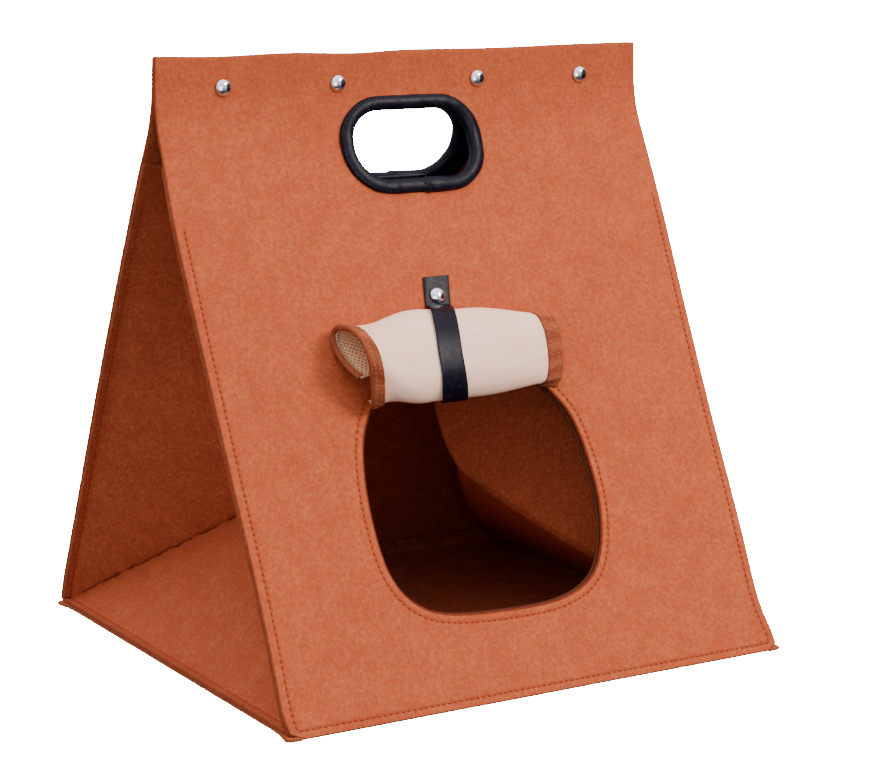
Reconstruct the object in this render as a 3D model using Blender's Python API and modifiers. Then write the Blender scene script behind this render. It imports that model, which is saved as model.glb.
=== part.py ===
"""A felt cave for a pet: two leaning panels snapped together along the top, a floor and two folded-in sides.

Units are metres. +X runs to the right of someone who faces the door, +Y to the back and +Z up. The origin is
on the floor, in the middle of the cave.

Most pieces are cut flat and then put in place: a flat piece has x across the panel, s up along the panel from
its bottom edge, and t outwards from the panel's outer face.
"""

import math

import bmesh
import bpy
from mathutils import Vector

# ------------------------------------------------------------ driving dimensions
WIDTH = 0.400
DEPTH = 0.3874
HEIGHT = 0.4317
FELT = 0.003
GAP = 0.0003  # between pieces that touch
SEAM = 0.007  # width of a sewn border

LEAN = math.radians(63.9)  # of the panels, from the floor
BEND_RADIUS = 0.090  # where the panels turn upright
PRESSED = 0.0052  # how far the middle of each panel is pressed inwards beside the handle
PRESSED_RISE = (0.305, 0.375)  # along the panel, where the press grows from nothing to full
PRESSED_FALL = (0.398, 0.436)  # and where it fades out again
GUSSET_HEIGHT = 0.3985  # along the panel

SNAP_ROW = 0.4089  # height of the top snaps
SNAP_PLACES = (-0.1487, -0.0582, 0.0582, 0.1487)
CAP_RADIUS = 0.0065
POST_RADIUS = 0.0022
SNAP_HOLE_RADIUS = POST_RADIUS + GAP
CURVE_STEPS = 2  # between the given points of the door hole's outline

HANDLE_CENTRE_X = -0.0025
HANDLE_TOP = 0.4350  # edge of the cut hole, along the panel
HANDLE_SIZE = (0.1044, 0.0618)
HANDLE_CORNER = 0.0278

AIR_MESH = 0.0020  # thickness of the door
BINDING = 0.0008
BINDING_START = 0.17  # share of the door's length that stays bare at the sewn edge
BINDING_SHARES = {"left": 0.056, "right": 0.080}  # of the door's width
STRAP_WIDTH = 0.0205
STRAP_THICKNESS = 0.0012
STRAP_SNAP = (-0.0145, 0.2895)
FACING = 0.0008
FACING_INNER = 0.0015  # how far the facing shows inside the door hole
FACING_OUTER = 0.0100

# ------------------------------------------------------------ short tables
# Where the side edges of the front panel lie: along the panel, left edge, right edge.
FRONT_SIDES = (
    (0.0040, -0.2000, 0.1995),
    (0.0130, -0.2022, 0.1988),
    (0.0300, -0.2027, 0.1952),
    (0.0500, -0.2020, 0.1940),
    (0.1000, -0.2015, 0.1952),
    (0.1800, -0.2022, 0.1958),
    (0.2600, -0.2032, 0.1976),
    (0.3500, -0.2038, 0.1998),
    (0.4150, -0.2012, 0.2000),
    (0.4700, -0.2000, 0.2000),
)
# The same for the back panel.
BACK_SIDES = (
    (0.0040, -0.2000, 0.2000),
    (0.0300, -0.2015, 0.2012),
    (0.1800, -0.2028, 0.2020),
    (0.3500, -0.2038, 0.2025),
    (0.4700, -0.2000, 0.2000),
)
# How far the top edge sags: across, down.
TOP_SAG = (
    (-0.152, 0.0014),
    (-0.096, 0.0004),
    (-0.042, 0.0019),
    (0.000, 0.0006),
    (0.075, 0.0012),
    (0.132, 0.0004),
)
# The door hole below its arch: across, along the panel.
DOOR_SIDES = (
    (-0.0970, 0.1940),
    (-0.1035, 0.1640),
    (-0.1050, 0.1310),
    (-0.1015, 0.1000),
    (-0.0900, 0.0790),
    (-0.0680, 0.0665),
    (-0.0240, 0.0620),
    (0.0240, 0.0630),
    (0.0540, 0.0740),
    (0.0700, 0.0960),
    (0.0775, 0.1290),
    (0.0770, 0.1660),
    (0.0710, 0.1940),
)
ARCH_TOP = 0.2465
ARCH_CENTRE = -0.0140
ARCH_FALL = 6.2  # the arch over the door hole is a parabola
ARCH_STEPS = (-0.070, -0.056, -0.038, -0.019, 0.0, 0.019, 0.038, 0.056, 0.070)

# The rolled door from its sewn edge to its free edge. Columns: x, s, t at the left end, s, t under the strap,
# and x, s, t at the right end.
# s and t place the middle of the sheet. The first two rows lie on the panel above the door hole.
ROLL = (
    (-0.0865, 0.2185, 0.0013, 0.2510, 0.0013, 0.0586, 0.2185, 0.0013),
    (-0.0875, 0.2150, 0.0016, 0.2420, 0.0016, 0.0590, 0.2155, 0.0016),
    (-0.0900, 0.2130, 0.0070, 0.2300, 0.0032, 0.0600, 0.2138, 0.0055),
    (-0.0930, 0.2155, 0.0170, 0.2160, 0.0054, 0.0615, 0.2158, 0.0105),
    (-0.0965, 0.2255, 0.0275, 0.2090, 0.0125, 0.0630, 0.2200, 0.0140),
    (-0.1000, 0.2380, 0.0370, 0.2135, 0.0212, 0.0645, 0.2270, 0.0162),
    (-0.1020, 0.2510, 0.0372, 0.2250, 0.0268, 0.0655, 0.2350, 0.0178),
    (-0.1035, 0.2620, 0.0290, 0.2400, 0.0284, 0.0665, 0.2440, 0.0186),
    (-0.1045, 0.2680, 0.0185, 0.2550, 0.0268, 0.0672, 0.2535, 0.0180),
    (-0.1050, 0.2700, 0.0090, 0.2680, 0.0205, 0.0672, 0.2618, 0.0144),
    (-0.1055, 0.2660, 0.0040, 0.2740, 0.0130, 0.0668, 0.2638, 0.0090),
    (-0.1052, 0.2565, 0.0042, 0.2690, 0.0080, 0.0660, 0.2585, 0.0055),
    (-0.1040, 0.2430, 0.0115, 0.2560, 0.0078, 0.0650, 0.2480, 0.0056),
    (-0.1015, 0.2310, 0.0215, 0.2400, 0.0092, 0.0632, 0.2360, 0.0078),
)
STRAP_REACH = (-0.0460, -0.0030)  # the roll keeps its middle section between these
SEWN_ABOVE = 0.0045  # from the arch of the door hole to the door's sewn edge
ROLL_STEPS = 50
SLOPE_STEP = 0.002  # on either side of a point, to measure a curve's direction there
ROLL_COLUMNS = 12

# The strap from its sewn end inside the panel, round the roll, to its tab: s, t, x.
STRAP_PATH = (
    (0.2600, -0.0054, -0.0120),
    (0.2490, -0.0054, -0.0130),
    (0.2425, -0.0047, -0.0140),
    (0.2365, -0.0025, -0.0155),
    (0.2290, 0.0006, -0.0185),
    (0.2145, 0.0032, -0.0230),
    (0.2067, 0.0120, -0.0270),
    (0.2116, 0.0231, -0.0315),
    (0.2242, 0.0290, -0.0330),
    (0.2400, 0.0306, -0.0315),
    (0.2558, 0.0290, -0.0280),
    (0.2698, 0.0225, -0.0230),
    (0.2765, 0.0135, -0.0190),
    (0.2790, 0.0060, -0.0172),
    (0.2815, 0.0018, -0.0160),
    (0.2850, 0.0012, -0.0152),
    (0.2950, 0.0011, -0.0135),
    (0.3040, 0.0011, -0.0118),
)
STRAP_STEPS = 48
STRAP_LIFT = 0.0011  # of the middle of the tab from the panel
PUNCH_LENGTH = 0.010

# The height that the lower facet of each folded side reaches in the middle, and the top of its middle crease.
GUSSET_APEX_HEIGHT = {"left": 0.1300, "right": 0.1170}
GUSSET_TOP = (0.1850, 0.3380)  # inwards from the side, height
GUSSET_ROWS = (0.03, 0.08, 0.14, 0.1937, 0.25, 0.31, 0.36, GUSSET_HEIGHT)
APEX_ROW = 3
GUSSET_INSET = 0.0005  # of its cut edge from the panel's side edge

# Cross section of the handle trim: inwards from the edge of the hole, outwards from the felt's outer face.
TRIM_SECTION = (
    (-0.0065, 0.0003),
    (-0.0062, 0.0022),
    (-0.0045, 0.0038),
    (-0.0015, 0.0046),
    (0.0015, 0.0043),
    (0.0036, 0.0026),
    (0.0042, -0.0002),
    (0.0036, -0.0028),
    (0.0018, -0.0042),
    (-0.0030, -0.0042),
    (-0.0030, -0.0033),
    (0.0003, -0.0033),
    (0.0003, 0.0003),
)

# The upper half of a snap: out from the axis, out from the felt.
CAP_PROFILE = (
    (0.0, 0.0036),
    (0.0026, 0.0033),
    (0.0045, 0.0025),
    (0.0058, 0.0014),
    (CAP_RADIUS, 0.0005),
    (CAP_RADIUS, 0.0),
    (POST_RADIUS, 0.0),
)
TURN_STEPS = 18


# ------------------------------------------------------------ small helpers
def clear_scene():
    for old in list(bpy.data.objects):
        bpy.data.objects.remove(old, do_unlink=True)


def make_material(name, colour, roughness, metallic=0.0):
    material = bpy.data.materials.new(name)
    material.use_nodes = True
    shader = material.node_tree.nodes["Principled BSDF"]
    shader.inputs["Base Color"].default_value = (*colour, 1.0)
    shader.inputs["Roughness"].default_value = roughness
    shader.inputs["Metallic"].default_value = metallic
    return material


def add_object(name, mesh, material, collection):
    made = bpy.data.objects.new(name, mesh)
    mesh.materials.clear()
    mesh.materials.append(material)
    collection.objects.link(made)
    return made


def lerp(a, b, f):
    return a + (b - a) * f


def smooth_step(ends, value):
    """0 up to the first end, 1 from the second, and smooth between them."""
    f = min(1.0, max(0.0, (value - ends[0]) / (ends[1] - ends[0])))
    return f * f * (3 - 2 * f)


def table_value(table, key, column):
    """A column of a table whose first column is its key, read between the rows."""
    if key <= table[0][0]:
        return table[0][column]
    for low, high in zip(table, table[1:]):
        if key <= high[0]:
            return lerp(low[column], high[column], (key - low[0]) / (high[0] - low[0]))
    return table[-1][column]


def smooth_rows(rows, f):
    """The point at f, from 0 to 1, on a smooth curve through all the rows of a table."""
    spans = len(rows) - 1
    i = min(int(f * spans), spans - 1)
    u = f * spans - i
    around = [rows[max(0, min(spans, i + k))] for k in (-1, 0, 1, 2)]
    values = []
    for a, b, c, d in zip(*around):
        bend, twist = 2 * a - 5 * b + 4 * c - d, 3 * b - a - 3 * c + d
        values.append(0.5 * (2 * b + (c - a) * u + bend * u**2 + twist * u**3))
    return values


def smooth_loop(points, steps_each):
    """A closed smooth curve through points, with so many steps from one to the next."""
    n = len(points)
    loop = []
    for i in range(n):
        rows = [points[(i + k) % n] for k in (-1, 0, 1, 2)]
        loop += [tuple(smooth_rows(rows, (1 + k / steps_each) / 3)) for k in range(steps_each)]
    return loop


def offset_loop(loop, distance):
    """A counter-clockwise closed outline moved outwards by distance."""
    moved = []
    for i, (x, y) in enumerate(loop):
        ahead, behind = loop[(i + 1) % len(loop)], loop[i - 1]
        along = Vector((ahead[0] - behind[0], ahead[1] - behind[1])).normalized()
        moved.append((x + along.y * distance, y - along.x * distance))
    return moved


def circle(centre, radius, steps=12):
    angles = [2 * math.pi * i / steps for i in range(steps)]
    return [(centre[0] + radius * math.cos(a), centre[1] + radius * math.sin(a)) for a in angles]


def rounded_rectangle(centre, size, corner, corner_steps=7):
    """Counter-clockwise from the lower right corner."""
    loop = []
    for turn, (sign_x, sign_y) in enumerate(((1, -1), (1, 1), (-1, 1), (-1, -1))):
        middle_x = centre[0] + sign_x * (size[0] / 2 - corner)
        middle_y = centre[1] + sign_y * (size[1] / 2 - corner)
        for step in range(corner_steps + 1):
            angle = math.radians(90 * (turn - 1 + step / corner_steps))
            loop.append((middle_x + corner * math.cos(angle), middle_y + corner * math.sin(angle)))
    return loop


# ------------------------------------------------------------ the leaning panels
FOOT_GAP = DEPTH / 2 - FELT / 2 * math.sin(LEAN)  # from the middle of the cave to the middle of the felt
FOOT_HEIGHT = FELT / 2 * math.cos(LEAN)
TOP_GAP = (FELT + GAP) / 2
STRAIGHT = (FOOT_GAP - TOP_GAP - BEND_RADIUS * (1 - math.sin(LEAN))) / math.cos(LEAN)
BEND_LENGTH = BEND_RADIUS * (math.pi / 2 - LEAN)
BEND_TOP = FOOT_HEIGHT + STRAIGHT * math.sin(LEAN) + BEND_RADIUS * math.cos(LEAN)
PANEL_LENGTH = STRAIGHT + BEND_LENGTH + HEIGHT - BEND_TOP
SNAP_S = PANEL_LENGTH - (HEIGHT - SNAP_ROW)
BEND_STEPS = 6
PRESS_COLUMNS = 12


def panel_profile(s):
    """Half the gap between the panels, the height and the angle, for the middle of the felt at s."""
    if s <= STRAIGHT:
        return FOOT_GAP - s * math.cos(LEAN), FOOT_HEIGHT + s * math.sin(LEAN), LEAN
    angle = min(LEAN + (s - STRAIGHT) / BEND_RADIUS, math.pi / 2)
    gap = TOP_GAP + BEND_RADIUS * (1 - math.sin(angle))
    height = BEND_TOP - BEND_RADIUS * math.cos(angle) + max(0.0, s - STRAIGHT - BEND_LENGTH)
    return gap, height, angle


def pressed(x, s):
    """How far a point of a panel's surface is pressed inwards."""
    middle = max(0.0, 1 - (2 * x / WIDTH) ** 2) ** 2
    return PRESSED * middle * smooth_step(PRESSED_RISE, s) * (1 - smooth_step(PRESSED_FALL, s))


def on_panel(side, x, s, t):
    """The place of a flat point on the front (side -1) or back (side 1) panel."""
    gap, height, angle = panel_profile(s)
    out = t + FELT / 2
    return Vector((x, side * (gap + out * math.sin(angle) - pressed(x, s)), height + out * math.cos(angle)))


def cut_flat(loops, thickness, slices=(), columns=()):
    """A flat piece with holes, its upper face at t = 0.

    It is sliced across at each s that slices gives, and where it is pressed, lengthwise at each x in columns.
    """
    curve = bpy.data.curves.new("outline", "CURVE")
    curve.dimensions = "2D"
    curve.fill_mode = "BOTH"
    curve.extrude = thickness / 2
    for loop in loops:
        spline = curve.splines.new("POLY")
        spline.points.add(len(loop) - 1)
        for point, (x, y) in zip(spline.points, loop):
            point.co = (x, y, 0, 1)
        spline.use_cyclic_u = True
    holder = bpy.data.objects.new("outline", curve)
    bpy.context.scene.collection.objects.link(holder)
    bpy.context.view_layer.update()
    graph = bpy.context.evaluated_depsgraph_get()
    mesh = bpy.data.meshes.new_from_object(holder.evaluated_get(graph))
    bpy.data.objects.remove(holder, do_unlink=True)

    bm = bmesh.new()
    bm.from_mesh(mesh)
    bmesh.ops.remove_doubles(bm, verts=bm.verts, dist=1e-6)
    for s in slices:
        everything = bm.verts[:] + bm.edges[:] + bm.faces[:]
        bmesh.ops.bisect_plane(bm, geom=everything, dist=1e-6, plane_co=(0, s, 0), plane_no=(0, 1, 0))
    for x in columns:
        faces = [face for face in bm.faces if PRESSED_RISE[0] < face.calc_center_median().y < PRESSED_FALL[1]]
        part = faces + list({edge for face in faces for edge in face.edges})
        part += list({vertex for face in faces for vertex in face.verts})
        bmesh.ops.bisect_plane(bm, geom=part, dist=1e-6, plane_co=(x, 0, 0), plane_no=(1, 0, 0))
    for vertex in bm.verts:
        vertex.co.z -= thickness / 2
    bm.to_mesh(mesh)
    bm.free()
    return mesh


def place(mesh, where):
    """Moves each flat point to where(x, s, t) and turns the faces outwards."""
    bm = bmesh.new()
    bm.from_mesh(mesh)
    for vertex in bm.verts:
        vertex.co = where(*vertex.co)
    bmesh.ops.triangulate(bm, faces=bm.faces)
    bmesh.ops.recalc_face_normals(bm, faces=bm.faces)
    bm.to_mesh(mesh)
    bm.free()
    return mesh


def sweep(sections, closed):
    """A mesh through sections of equally many points, closed on itself or with a face at each end."""
    bm = bmesh.new()
    rings = [[bm.verts.new(point) for point in section] for section in sections]
    pairs = list(zip(rings, rings[1:])) + ([(rings[-1], rings[0])] if closed else [])
    for ring, following in pairs:
        for i in range(len(ring)):
            bm.faces.new((ring[i - 1], ring[i], following[i], following[i - 1]))
    if not closed:
        bm.faces.new(rings[0])
        bm.faces.new(rings[-1])
    bmesh.ops.triangulate(bm, faces=bm.faces, quad_method="FIXED")
    bmesh.ops.recalc_face_normals(bm, faces=bm.faces)
    mesh = bpy.data.meshes.new("swept")
    bm.to_mesh(mesh)
    bm.free()
    return mesh


def bend_slices():
    pressed_part = [lerp(*PRESSED_RISE, i / 3) for i in range(4)] + list(PRESSED_FALL)
    return pressed_part + [STRAIGHT + BEND_LENGTH * i / BEND_STEPS for i in range(BEND_STEPS + 1)]


def press_columns():
    return [WIDTH * (i / PRESS_COLUMNS - 0.5) for i in range(1, PRESS_COLUMNS)]


CORNER_CUT = (WIDTH / 2 - SEAM - 0.002, 0.0042)  # the panels' corners make way for the floor's corners


def panel_outline(sides):
    """Counter-clockwise from the lower left, with the two lower corners cut out."""
    cut_x, cut_s = CORNER_CUT
    right = [(row[2], row[0]) for row in sides]
    left = [(row[1], row[0]) for row in sides]
    top = [(x, PANEL_LENGTH - sag) for x, sag in TOP_SAG]
    corners_top = [(sides[-1][1], PANEL_LENGTH), (sides[-1][2], PANEL_LENGTH)]
    loop = [(-cut_x, 0.0), (cut_x, 0.0), (cut_x, cut_s)]
    loop += [(right[0][0], cut_s)] + right[1:] + [corners_top[1]]
    loop += list(reversed(top)) + [corners_top[0]]
    loop += list(reversed(left[1:])) + [(left[0][0], cut_s), (-cut_x, cut_s)]
    return loop


def handle_loop():
    centre = (HANDLE_CENTRE_X, HANDLE_TOP - HANDLE_SIZE[1] / 2)
    return rounded_rectangle(centre, HANDLE_SIZE, HANDLE_CORNER)


def arch_height(x):
    return ARCH_TOP - ARCH_FALL * (x - ARCH_CENTRE) ** 2


def door_loop():
    """Counter-clockwise round the door hole."""
    arch = [(ARCH_CENTRE + dx, arch_height(ARCH_CENTRE + dx)) for dx in reversed(ARCH_STEPS)]
    return smooth_loop(list(DOOR_SIDES) + arch, CURVE_STEPS)


def top_snap_holes():
    return [circle((x, SNAP_S), SNAP_HOLE_RADIUS) for x in SNAP_PLACES]


def build_panels(felt, collection):
    front_loops = [panel_outline(FRONT_SIDES), door_loop(), handle_loop()]
    front_loops.append(circle(STRAP_SNAP, SNAP_HOLE_RADIUS))
    back_loops = [panel_outline(BACK_SIDES), handle_loop()]
    for name, side, loops in (("front_panel", -1, front_loops), ("back_panel", 1, back_loops)):
        flat = cut_flat(loops + top_snap_holes(), FELT, bend_slices(), press_columns())
        mesh = place(flat, lambda x, s, t, side=side: on_panel(side, x, s, t))
        add_object(name, mesh, felt, collection)


# ------------------------------------------------------------ floor
FOLD_RADIUS = 0.0035  # of the turned-up borders, at the middle of the felt
FOLD_STEPS = 5
BORDER_UP = 0.008
BORDER_END = 0.015  # from the side of the cave to the end of a turned-up border
BORDER_SLIT = 0.002  # how far the slit beside a border's end runs in
INNER_LAYER = -(FELT + GAP)  # the outer face of a second layer, sewn inside a panel
# A corner of the floor stands out a little past the panels. Columns: outwards from the side, inwards from
# the front.
FLOOR_CORNER = (
    (-0.0020, 0.0005),
    (0.0025, 0.0020),
    (0.0035, 0.0055),
    (0.0010, 0.0165),
    (0.0000, 0.0305),
)


def floor_meets_border():
    """Distance from the middle to where the floor's middle plane meets that of the turned-up border."""
    border = on_panel(1, 0, 0, INNER_LAYER - FELT / 2)
    return border.y + (border.z - FELT / 2) / math.tan(LEAN)


def build_floor(felt, collection):
    turn = math.pi - LEAN
    flat_end = floor_meets_border() - FOLD_RADIUS * math.tan(turn / 2)
    reach = flat_end + FOLD_RADIUS * turn + BORDER_UP
    border_end = WIDTH / 2 - BORDER_END
    slit = flat_end - BORDER_SLIT
    corner_start = CORNER_CUT[0] + 2 * GAP
    corner = [(WIDTH / 2 + out, DEPTH / 2 - inwards) for out, inwards in FLOOR_CORNER]
    quarter = [(border_end, reach), (border_end, slit), (corner_start, slit)]
    quarter += [(corner_start, corner[0][1])] + corner
    loop = [(x, -y) for x, y in quarter]
    loop += [(x, y) for x, y in reversed(quarter)]
    loop += [(-x, y) for x, y in quarter]
    loop += [(-x, -y) for x, y in reversed(quarter)]

    def fold(x, v, t):
        side = 1 if v > 0 else -1
        past = abs(v) - flat_end
        height = FELT + t  # t runs from -FELT to 0
        if past <= 0 or abs(x) > (border_end + corner_start) / 2:
            return Vector((x, v, height))
        angle = min(past / FOLD_RADIUS, turn)
        radius = FOLD_RADIUS - (height - FELT / 2)
        straight = max(0.0, past - FOLD_RADIUS * turn)
        away = flat_end + radius * math.sin(angle) + straight * math.cos(angle)
        up = FELT / 2 + FOLD_RADIUS - radius * math.cos(angle) + straight * math.sin(angle)
        return Vector((x, side * away, up))

    steps = [flat_end + FOLD_RADIUS * turn * i / FOLD_STEPS for i in range(FOLD_STEPS + 1)]
    flat = cut_flat([loop], FELT, [-v for v in steps] + steps)
    add_object("floor_panel", place(flat, fold), felt, collection)


# ------------------------------------------------------------ folded sides
def build_gusset(name, sign, apex_height, felt, collection):
    """One sheet: a border on the panels and on the floor, two wings, and a lower facet that rises inwards."""
    half = WIDTH / 2
    layer = INNER_LAYER - FELT / 2
    floor_layer = FELT + GAP + FELT / 2
    row_zero = (floor_layer - on_panel(1, 0, 0, layer).z) / math.sin(LEAN)
    inwards = math.sqrt((DEPTH / 2) ** 2 - apex_height**2)
    apex = Vector((sign * (half - inwards), 0, apex_height))
    crest = Vector((sign * (half - GUSSET_TOP[0]), 0, GUSSET_TOP[1]))

    def edge(side, s, inset):
        table = FRONT_SIDES if side < 0 else BACK_SIDES
        x = table_value(table, s, 2 if sign > 0 else 1)
        return on_panel(side, x - sign * inset, s, layer)

    bm = bmesh.new()
    rows = []
    for i, s in enumerate((row_zero,) + GUSSET_ROWS):
        outer = [bm.verts.new(edge(side, s, GUSSET_INSET)) for side in (-1, 1)]
        sewn = [bm.verts.new(edge(side, s, SEAM)) for side in (-1, 1)]
        if i == 0:
            crease = sewn
        elif i <= APEX_ROW:
            share = (s - row_zero) / (GUSSET_ROWS[APEX_ROW] - row_zero)
            crease = [bm.verts.new(rows[0][1][k].co.lerp(apex, share)) for k in (0, 1)]
        else:
            share = (s - GUSSET_ROWS[APEX_ROW]) / (GUSSET_HEIGHT - GUSSET_ROWS[APEX_ROW])
            crease = [bm.verts.new(apex.lerp(crest, share))] * 2
        rows.append((outer, sewn, crease))
    bm.faces.new((rows[0][0][0], rows[0][1][0], rows[0][1][1], rows[0][0][1]))
    for low, high in zip(rows, rows[1:]):
        for k in (0, 1):
            bm.faces.new((low[0][k], low[1][k], high[1][k], high[0][k]))
            wing = [low[1][k], low[2][k], high[2][k], high[1][k]]
            bm.faces.new(list(dict.fromkeys(wing)))
        if low[2][0] is not low[2][1]:
            facet = [low[2][0], low[2][1], high[2][1], high[2][0]]
            bm.faces.new(list(dict.fromkeys(facet)))
    bmesh.ops.recalc_face_normals(bm, faces=bm.faces)
    mesh = bpy.data.meshes.new(name)
    bm.to_mesh(mesh)
    bm.free()
    made = add_object(name, mesh, felt, collection)
    thick = made.modifiers.new("felt", "SOLIDIFY")
    thick.thickness = FELT
    thick.offset = 0
    thick.use_even_offset = True


# ------------------------------------------------------------ door
def roll_section(f):
    """The row of ROLL at f, from 0 at the sewn edge to 1 at the free edge."""
    return smooth_rows(ROLL, f)


def roll_point(across, f, n):
    """A point of the rolled door: across from 0 at its left edge to 1, f along it, n out from its middle."""
    x, s, t = roll_middle(across, f)
    _, s_a, t_a = roll_middle(across, max(0.0, f - SLOPE_STEP))
    _, s_b, t_b = roll_middle(across, min(1.0, f + SLOPE_STEP))
    along = Vector((s_b - s_a, t_b - t_a)).normalized()
    return on_panel(-1, x, s - along.y * n, t + along.x * n)


def roll_middle(across, f):
    row = roll_section(f)
    x = lerp(row[0], row[5], across)
    middle = (row[3], row[4])
    if x < STRAP_REACH[0]:
        end, share = (row[1], row[2]), (STRAP_REACH[0] - x) / (STRAP_REACH[0] - row[0])
    elif x > STRAP_REACH[1]:
        end, share = (row[6], row[7]), (x - STRAP_REACH[1]) / (row[5] - STRAP_REACH[1])
    else:
        end, share = middle, 0.0
    share = share * share * (2 - share)
    s, t = lerp(middle[0], end[0], share), lerp(middle[1], end[1], share)
    sewn = max(0.0, 1 - f * (len(ROLL) - 1) / 2)  # 1 at the sewn edge, 0 two rows on
    return x, lerp(s, arch_height(x) + SEWN_ABOVE, sewn), t


def sheet_from(point_at, columns, rows, thickness, name):
    """A closed sheet: point_at(across, along, n) gives its points, n out from its middle."""
    bm = bmesh.new()
    layers = []
    for n in (-thickness / 2, thickness / 2):
        layers.append([[bm.verts.new(point_at(c, r, n)) for c in columns] for r in rows])
    last_row, last_column = len(rows) - 1, len(columns) - 1
    low, high = layers
    for r in range(last_row):
        for c in range(last_column):
            bm.faces.new((low[r][c + 1], low[r][c], low[r + 1][c], low[r + 1][c + 1]))
            bm.faces.new((high[r][c], high[r][c + 1], high[r + 1][c + 1], high[r + 1][c]))
    for r in range(last_row):
        for c in (0, last_column):
            bm.faces.new((low[r][c], low[r + 1][c], high[r + 1][c], high[r][c]))
    for c in range(last_column):
        for r in (0, last_row):
            bm.faces.new((low[r][c], low[r][c + 1], high[r][c + 1], high[r][c]))
    bmesh.ops.triangulate(bm, faces=bm.faces, quad_method="FIXED")
    bmesh.ops.recalc_face_normals(bm, faces=bm.faces)
    mesh = bpy.data.meshes.new(name)
    bm.to_mesh(mesh)
    bm.free()
    return mesh


def roll_rows(start=0.0):
    return [f for f in (i / ROLL_STEPS for i in range(ROLL_STEPS + 1)) if f >= start]


def build_door(mesh_cloth, tape, collection):
    facing_loops = [offset_loop(door_loop(), FACING_OUTER), offset_loop(door_loop(), -FACING_INNER)]
    flat = cut_flat(facing_loops, FACING)
    facing = place(flat, lambda x, s, t: on_panel(-1, x, s, t + INNER_LAYER))
    add_object("door_facing", facing, tape, collection)

    first, last = BINDING_SHARES["left"], 1 - BINDING_SHARES["right"]
    inner = [lerp(first, last, i / ROLL_COLUMNS) for i in range(ROLL_COLUMNS + 1)]
    columns = [0.0, first / 2] + inner + [(1 + last) / 2, 1.0]
    flap = sheet_from(roll_point, columns, roll_rows(), AIR_MESH, "door_flap")
    add_object("door_flap", flap, mesh_cloth, collection)

    near = AIR_MESH / 2 + GAP
    far = near + BINDING
    for side in ("left", "right"):
        sections = []
        for f in roll_rows(BINDING_START):
            row = roll_section(f)
            clear, past = GAP / (row[5] - row[0]), (GAP + BINDING) / (row[5] - row[0])
            width = BINDING_SHARES[side]
            channel = ((width / 2, near), (width, near), (width, far), (-past, far), (-past, -far))
            channel += ((width, -far), (width, -near), (width / 2, -near), (-clear, -near), (-clear, near))
            if side == "right":
                channel = [(1 - across, n) for across, n in channel]
            sections.append([roll_point(across, f, n) for across, n in channel])
        add_object("door_binding_" + side, sweep(sections, closed=False), tape, collection)


# ------------------------------------------------------------ strap
def strap_point(across, f, n):
    s, t, x = smooth_rows(STRAP_PATH, f)
    s_a, t_a, _ = smooth_rows(STRAP_PATH, max(0.0, f - SLOPE_STEP))
    s_b, t_b, _ = smooth_rows(STRAP_PATH, min(1.0, f + SLOPE_STEP))
    along = Vector((s_b - s_a, t_b - t_a)).normalized()
    return on_panel(-1, x + (across - 0.5) * STRAP_WIDTH, s - along.y * n, t + along.x * n)


def build_strap(leather, parts, cutters):
    rows = [i / STRAP_STEPS for i in range(STRAP_STEPS + 1)]
    sheet = sheet_from(strap_point, (0, 0.5, 1), rows, STRAP_THICKNESS, "strap")
    strap = add_object("strap", sheet, leather, parts)
    hole = cut_flat([circle(STRAP_SNAP, SNAP_HOLE_RADIUS)], PUNCH_LENGTH)
    hole = place(hole, lambda x, s, t: on_panel(-1, x, s, t + PUNCH_LENGTH / 2))
    punch = add_object("strap_hole", hole, leather, cutters)
    punch.hide_render = True
    punch.display_type = "WIRE"
    cut = strap.modifiers.new("snap hole", "BOOLEAN")
    cut.operation = "DIFFERENCE"
    cut.solver = "EXACT"
    cut.object = punch


# ------------------------------------------------------------ trim and snaps
def build_handle_trims(leather, collection):
    edge = handle_loop()
    for name, side in (("handle_trim_front", -1), ("handle_trim_back", 1)):
        sections = []
        rings = [offset_loop(edge, -inwards) for inwards, _ in TRIM_SECTION]
        for i in range(len(edge)):
            sections.append([on_panel(side, *ring[i], out) for ring, (_, out) in zip(rings, TRIM_SECTION)])
        add_object(name, sweep(sections, closed=True), leather, collection)


def turned_snap(name, metal, upper_face, lower_face, collection):
    """Two caps on one post, turned about Z. The caps' flat undersides lie at upper_face and lower_face."""
    profile = [(r, upper_face + h) for r, h in CAP_PROFILE]
    profile += [(r, lower_face - h) for r, h in reversed(CAP_PROFILE)]
    bm = bmesh.new()
    points = [bm.verts.new((r, 0, h)) for r, h in profile]
    for a, b in zip(points, points[1:]):
        bm.edges.new((a, b))
    mesh = bpy.data.meshes.new(name)
    bm.to_mesh(mesh)
    bm.free()
    made = add_object(name, mesh, metal, collection)
    turn = made.modifiers.new("turn", "SCREW")
    turn.steps = TURN_STEPS
    turn.render_steps = TURN_STEPS
    turn.use_merge_vertices = True
    turn.merge_threshold = 0.00005
    return made


def build_snaps(metal, collection):
    # where the bent panel stands out most under a cap
    seat = -on_panel(-1, WIDTH / 2, SNAP_S - CAP_RADIUS, GAP).y
    for number, x in enumerate(SNAP_PLACES, start=1):
        snap = turned_snap(f"snap_top_{number}", metal, seat, -seat, collection)
        snap.location = (x, 0, SNAP_ROW)
        snap.rotation_euler = (math.pi / 2, 0, 0)

    x, s = STRAP_SNAP
    above, below = STRAP_LIFT + STRAP_THICKNESS / 2 + GAP, -FELT - GAP
    snap = turned_snap("snap_strap", metal, above, below, collection)
    snap.location = on_panel(-1, x, s, 0)
    snap.rotation_euler = (LEAN, 0, 0)


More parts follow.
